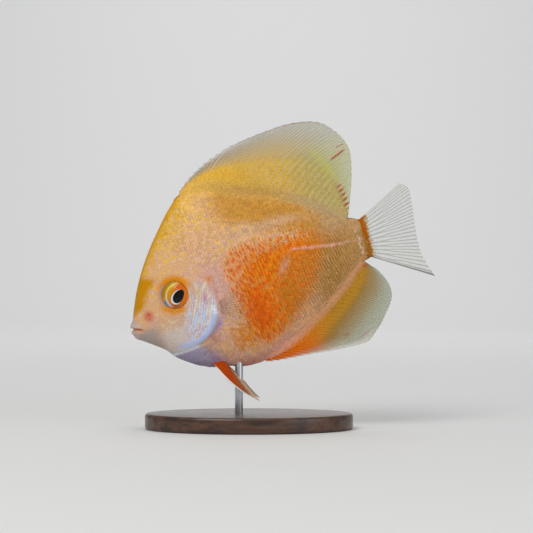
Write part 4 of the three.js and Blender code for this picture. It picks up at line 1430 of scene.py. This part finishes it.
# %% Paint the anal fin
def paint_anal():
    paint = FinPaint("anal_membrane")
    a, b, grain, reach, crest, ray = (
        paint.a, paint.b, paint.grain, paint.reach, paint.crest, paint.ray)
    sheath = (ray / (ANAL_RAYS - 1)).along(ANAL_SHEATH)
    foot = (sheath + (grain - 0.5) * 0.3 - reach).soft(-0.3, 0.12)
    outer = (reach + (grain - 0.5) * 0.3).soft(0.5, 0.9)
    coat = Coat(paint, paint.mix(tint(164, 132, 58), tint(150, 154, 116), outer))
    coat.lay(tint(208, 204, 180), crest.soft(0.2, 0.9) * reach.soft(0.3, 0.7) * 0.6)
    coat.lay(anal_gold(paint, a, b, grain, ray), foot)
    front = (ray + (grain - 0.5) * 6 + reach * 4).soft(15, 6)
    lead = front * reach.soft(0.12, 0.3)
    coat.lay(tint(224, 108, 4), lead)
    coat.lay(tint(190, 58, 0), lead * (crest + (grain - 0.5)).soft(0.3, 0.8) * 0.8)
    tips = (reach + (grain - 0.5) * 0.16).soft(0.86, 0.98) * ray.soft(18, 12)
    coat.lay(tint(226, 216, 204), tips * 0.8)
    mark = (b + 44.0 - (a - 108) * 0.3).hill(0, 0.4) * a.hill(108, 3)
    mark = mark.at_least((b + 41.2).hill(0, 0.6) * a.hill(99.5, 1.3) * 0.8)
    mark = mark.at_least((b + 12.2).hill(0, 0.8) * a.hill(119.6, 1.6) * 0.8)
    coat.lay(tint(176, 52, 10), mark.at_most(1) * 0.85)
    solid = 0.7 + crest * 0.2 - reach.soft(0.5, 1.0) * 0.3 + front * 0.25
    paint.seen(coat.colour, foot.at_least(solid), anal)


paint_anal()


# %% Paint the tail fin and the paired fins
def paint_tail():
    paint = FinPaint("tail_membrane")
    a, b, grain, crest, ray = paint.a, paint.b, paint.grain, paint.crest, paint.ray
    coat = Coat(paint, paint.mix(tint(190, 192, 178), tint(150, 148, 136), crest))
    foot = (a + (grain - 0.5) * 7 - b * 0.14).soft(128.8, 126.0)
    coat.lay(tint(196, 146, 50), foot)
    coat.lay(tint(190, 98, 0), (a + (grain - 0.5) * 6 - b * 0.14).soft(127.4, 125.8))
    # Painted shadow: the lowest ray is painted dark and made more solid.
    lowest_ray_shadow = ray.soft(TAIL_RAYS - 1.9, TAIL_RAYS - 1.2)
    coat.lay(tint(96, 84, 72), lowest_ray_shadow * 0.8)
    solid = 0.1 + crest * 0.34 + paint.reach.soft(0.3, 0.0) * 0.3 + lowest_ray_shadow * 0.3
    paint.seen(coat.colour, foot.at_least(solid), tail)


def paint_pectorals():
    paint = FinPaint("pectoral_membrane")
    reach, crest = paint.reach, paint.crest
    coat = Coat(paint, paint.mix(tint(196, 172, 142), tint(150, 136, 116), crest))
    coat.lay(tint(196, 160, 150), reach.soft(0.25, 0.05))
    solid = reach.soft(0.22, 0.02) * 0.4 + (0.04 + crest * 0.22) * reach.soft(1.0, 0.3)
    paint.seen(coat.colour, solid, *pectoral_fins)


def paint_pelvics():
    paint = FinPaint("pelvic_membrane")
    grain, reach, crest = paint.grain, paint.reach, paint.crest
    streak = (crest + (grain - 0.5) * 1.2).soft(0.2, 0.8)
    # The orange-red and the red streaks are the fins' own colour, darkened all over as a painted
    # shade.
    coat = Coat(paint, paint.mix(tint(196, 78, 2), tint(146, 36, 0), streak))
    coat.lay(tint(166, 104, 58), reach.soft(0.45, 0.75) * crest.soft(0.8, 0.2))
    coat.lay(tint(214, 190, 160), (reach + (grain - 0.5) * 0.3).soft(0.72, 1.0))
    coat.lay(tint(246, 238, 226), paint.ray.soft(0.75, 0.3) * reach.soft(0.04, 0.2))
    solid = 1.0 - reach.soft(0.5, 1.0) * 0.35 + crest * 0.2
    paint.seen(coat.colour, solid, *pelvic_fins)


paint_tail()
paint_pectorals()
paint_pelvics()


# %% Paint the scales on the fins' feet
def foot_paint(name, ground, rays):
    """The colour of a fin's foot on the scales that cover it, with painted light and shade on each
    scale.
    """
    paint = Paint(name)
    a, b = paint.flank()
    chance, ray = paint.number("chance"), paint.number("ray") * (rays - 1)
    mottle = paint.noise(paint.join(a, b), 0.7, 4.0, 0.65)
    # Painted light and shade on each scale: lighter at its free edge, darker at its root, with a
    # random tone from its chance.
    light = 1 + (chance - 0.5) * 0.22 + (paint.number("rim") - 0.5) * 0.16
    colour = paint.lit(ground(paint, a, b, mottle, ray), light + (mottle - 0.5) * 0.4)
    paint.dress(colour, 0.4 + (mottle - 0.5) * 0.2)
    return paint


foot_paint("dorsal_foot_scales", dorsal_gold, DORSAL_RAYS).finish(*dorsal_coat)
foot_paint("anal_foot_scales", anal_gold, ANAL_RAYS).finish(*anal_coat)

# %% [markdown]
# ## Eye paint
#
# A discus has a black pupil in a white ring, and an iris from yellow to deep orange with a pale
# crescent in front. The iris is painted in rings about two centres: the pupil's, which looks
# back and down, and the ball's. The cornea is clear and very smooth, so the studio lights show
# in it as they do in a wet eye.

# %% Paint the eyes
PUPIL_AT = (1.9, -1.25)
PUPIL_LONG, PUPIL_WIDE, PUPIL_LEAN = 3.7, 2.35, math.radians(38)
CRESCENT_REACH = 6.4


def paint_iris():
    paint = Paint("iris")
    p, q, _ = paint.vector("gaze")
    grain = paint.noise(paint.join(p, q), 1.0, 4.0)
    u, v = p - PUPIL_AT[0], q - PUPIL_AT[1]
    from_pupil = (u * u + v * v) ** 0.5
    ball_reach = (p * p + q * q) ** 0.5

    def oval(shift_p, shift_q):
        """1 at the rim of the pupil's oval, less inside and more outside."""
        c, s = math.cos(PUPIL_LEAN), math.sin(PUPIL_LEAN)
        along = (u - shift_p) * c + (v - shift_q) * s
        across = (v - shift_q) * c - (u - shift_p) * s
        wide = PUPIL_WIDE - along * 0.08
        return ((along / PUPIL_LONG) ** 2 + (across / wide) ** 2) ** 0.5

    yellow = (grain + (q - p) * 0.06).soft(0.4, 0.8)
    coat = Coat(paint, paint.mix(tint(238, 124, 0), tint(232, 166, 0), yellow))
    coat.lay(tint(236, 84, 0), u.hill(1.0, 1.8) * v.hill(4.6, 1.6) * 0.8)
    coat.lay(tint(160, 92, 52), u.hill(-3.2, 1.3) * v.soft(3, -2) * 0.7)
    coat.lay(tint(152, 104, 66), v.soft(-3.4, -5.0) * grain.soft(0.3, 0.6) * 0.8)
    front = (v * 0.57 - u * 0.82) / from_pupil.at_least(0.1)
    outer = front.soft(0.2, 0.6) * from_pupil.soft(6.2, 6.9)
    coat.lay(tint(196, 142, 20), outer * q.soft(-1, 2))
    # Painted shade: the lower part of this front rim is painted grey-blue.
    coat.lay(tint(134, 132, 158), outer * q.soft(0.5, -2))
    crescent = from_pupil.hill(CRESCENT_REACH, 0.5) * front.soft(0.2, 0.6)
    pale = paint.mix(tint(255, 232, 84), tint(250, 226, 180), q.soft(5, 1))
    coat.lay(paint.mix(pale, tint(214, 222, 232), q.soft(0, -3)), crescent)
    coat.lay(tint(222, 128, 0), ball_reach.soft(6.0, 7.0) * front.soft(0.5, 0.1))
    coat.lay(tint(252, 250, 255), oval(-0.7, -0.05).soft(1.14, 1.06))
    coat.lay(tint(2, 3, 8), oval(0, 0).soft(1.04, 0.98))
    paint.dress(coat.colour, 0.3, gloss=0.3)
    return paint


def paint_cornea():
    paint = Paint("cornea")
    paint.dress((0, 0, 0, 1), 0.04, gloss=PLAIN_GLOSS)
    paint.shader.inputs["Alpha"].default_value = 0.1
    return paint


paint_iris().finish(*eyes)
paint_cornea().finish(*corneas)

# %% [markdown]
# ## Wood and steel
#
# Dark walnut has grain along the plank and fine open pores, under a thin coat of wax. Both are
# noises that are stretched along the base. The steel rod was brushed round, which a noise does
# that changes quickly along the rod and slowly across it.


# %% Paint the stand
def paint_walnut():
    paint = Paint("walnut")
    x, y, z = paint.place()
    grain = paint.noise(paint.join(x * 0.02, y * 0.16, z * 0.16), 1.6, 5.0, 0.62)
    pores = paint.noise(paint.join(x * 0.05, y * 1.6, z * 1.6), 1.4, 2.0)
    colour = paint.mix(tint(46, 27, 18), tint(98, 62, 38), grain.soft(0.32, 0.68))
    colour = paint.mix(colour, tint(26, 14, 9), pores.soft(0.6, 0.72) * 0.7)
    paint.dress(colour, 0.34 + pores.soft(0.55, 0.75) * 0.3, gloss=PLAIN_GLOSS)
    paint.relief(1 - pores, 0.2, 0.0002)
    paint.shader.inputs["Coat Weight"].default_value = 0.3
    return paint


def paint_steel():
    paint = Paint("brushed_steel")
    x, y, z = paint.place()
    brush = paint.noise(paint.join(x * 0.2, y * 0.2, z * 9), 1.0, 3.0)
    paint.dress(tint(196, 198, 202), 0.22 + brush * 0.24, gloss=PLAIN_GLOSS)
    paint.shader.inputs["Metallic"].default_value = 1.0
    return paint


paint_walnut().finish(base)
paint_steel().finish(rod)

# %% [markdown]
# ## Studio
#
# A pale floor that curves up far behind the fish, soft square lights and a long lens. The
# camera stands level with the fish, square to its flank, as in the photograph.

# %% The floor and its far curve
FLOOR_HALF, FLOOR_FRONT, FLOOR_TOP = 4000, -2500, 3200
BEND_AT, BEND_RADIUS = 1500, 900
profile = [(FLOOR_FRONT, 0.0), (BEND_AT, 0.0)]
for q in np.radians(range(6, 91, 6)):
    profile.append((BEND_AT + BEND_RADIUS * math.sin(q), BEND_RADIUS * (1 - math.cos(q))))
profile.append((BEND_AT + BEND_RADIUS, FLOOR_TOP))
points = [(x * MM, y * MM, z * MM) for y, z in profile for x in (-FLOOR_HALF, FLOOR_HALF)]
floor = make_mesh("studio_floor", points, grid_faces(len(profile), 2, wrap=False))
paper = Paint("studio_paper")
paper.dress(tint(226, 226, 224), 0.9, gloss=PLAIN_GLOSS)
paper.finish(floor)


# %% Lights and the sky round them
def soft_light(name, at, size, power, colour, target=(0, 0, 0.08)):
    """A large square light that faces the fish, or another target."""
    lamp = bpy.data.lights.new(name, "AREA")
    lamp.size = size
    lamp.energy = power
    lamp.color = colour
    holder = bpy.data.objects.new(name, lamp)
    holder.location = at
    aim = Vector(target) - Vector(at)
    holder.rotation_euler = aim.to_track_quat("-Z", "Y").to_euler()
    scene.collection.objects.link(holder)
    print(name, "light,", power, "watts")


soft_light("key", (-0.45, -0.8, 0.95), 0.6, 6.5, (1.0, 0.98, 0.95))
soft_light("fill", (0.8, -0.8, 0.4), 0.8, 2.6, (0.95, 0.98, 1.0))
soft_light("top", (0.0, 0.15, 1.2), 0.9, 3.5, (1.0, 1.0, 1.0))
soft_light("backdrop", (0.0, 1.1, 1.5), 1.0, 13, (1.0, 1.0, 1.0), target=(0, 2.4, 0.4))
world = bpy.data.worlds.new("studio")
world.use_nodes = True
sky = world.node_tree.nodes["Background"]
sky.inputs["Color"].default_value = (0.92, 0.95, 1.0, 1)
sky.inputs["Strength"].default_value = 0.34
scene.world = world
scene.view_settings.view_transform = "Standard"

# %% Camera
FRAME_WIDTH = 266.5  # millimetres seen across the picture at the fish
CAMERA_AWAY = 900.0
SENSOR = 36.0
PICTURE = 533
FISH_COLUMN = 283  # pixel column that lies over the middle of the room
FLOOR_LINE = 429  # pixel row of the floor under the fish
lens = bpy.data.cameras.new("camera")
lens.sensor_width = SENSOR
lens.lens = SENSOR * CAMERA_AWAY / FRAME_WIDTH
camera = bpy.data.objects.new("camera", lens)
millimetres = FRAME_WIDTH / PICTURE
photo_x = -(FISH_COLUMN - PICTURE / 2) * millimetres
photo_z = (FLOOR_LINE - PICTURE / 2) * millimetres
camera.location = (photo_x * MM, -CAMERA_AWAY * MM, photo_z * MM)
camera.rotation_euler = (math.pi / 2, 0, 0)
scene.collection.objects.link(camera)
scene.camera = camera
print("lens:", round(lens.lens, 1), "mm")
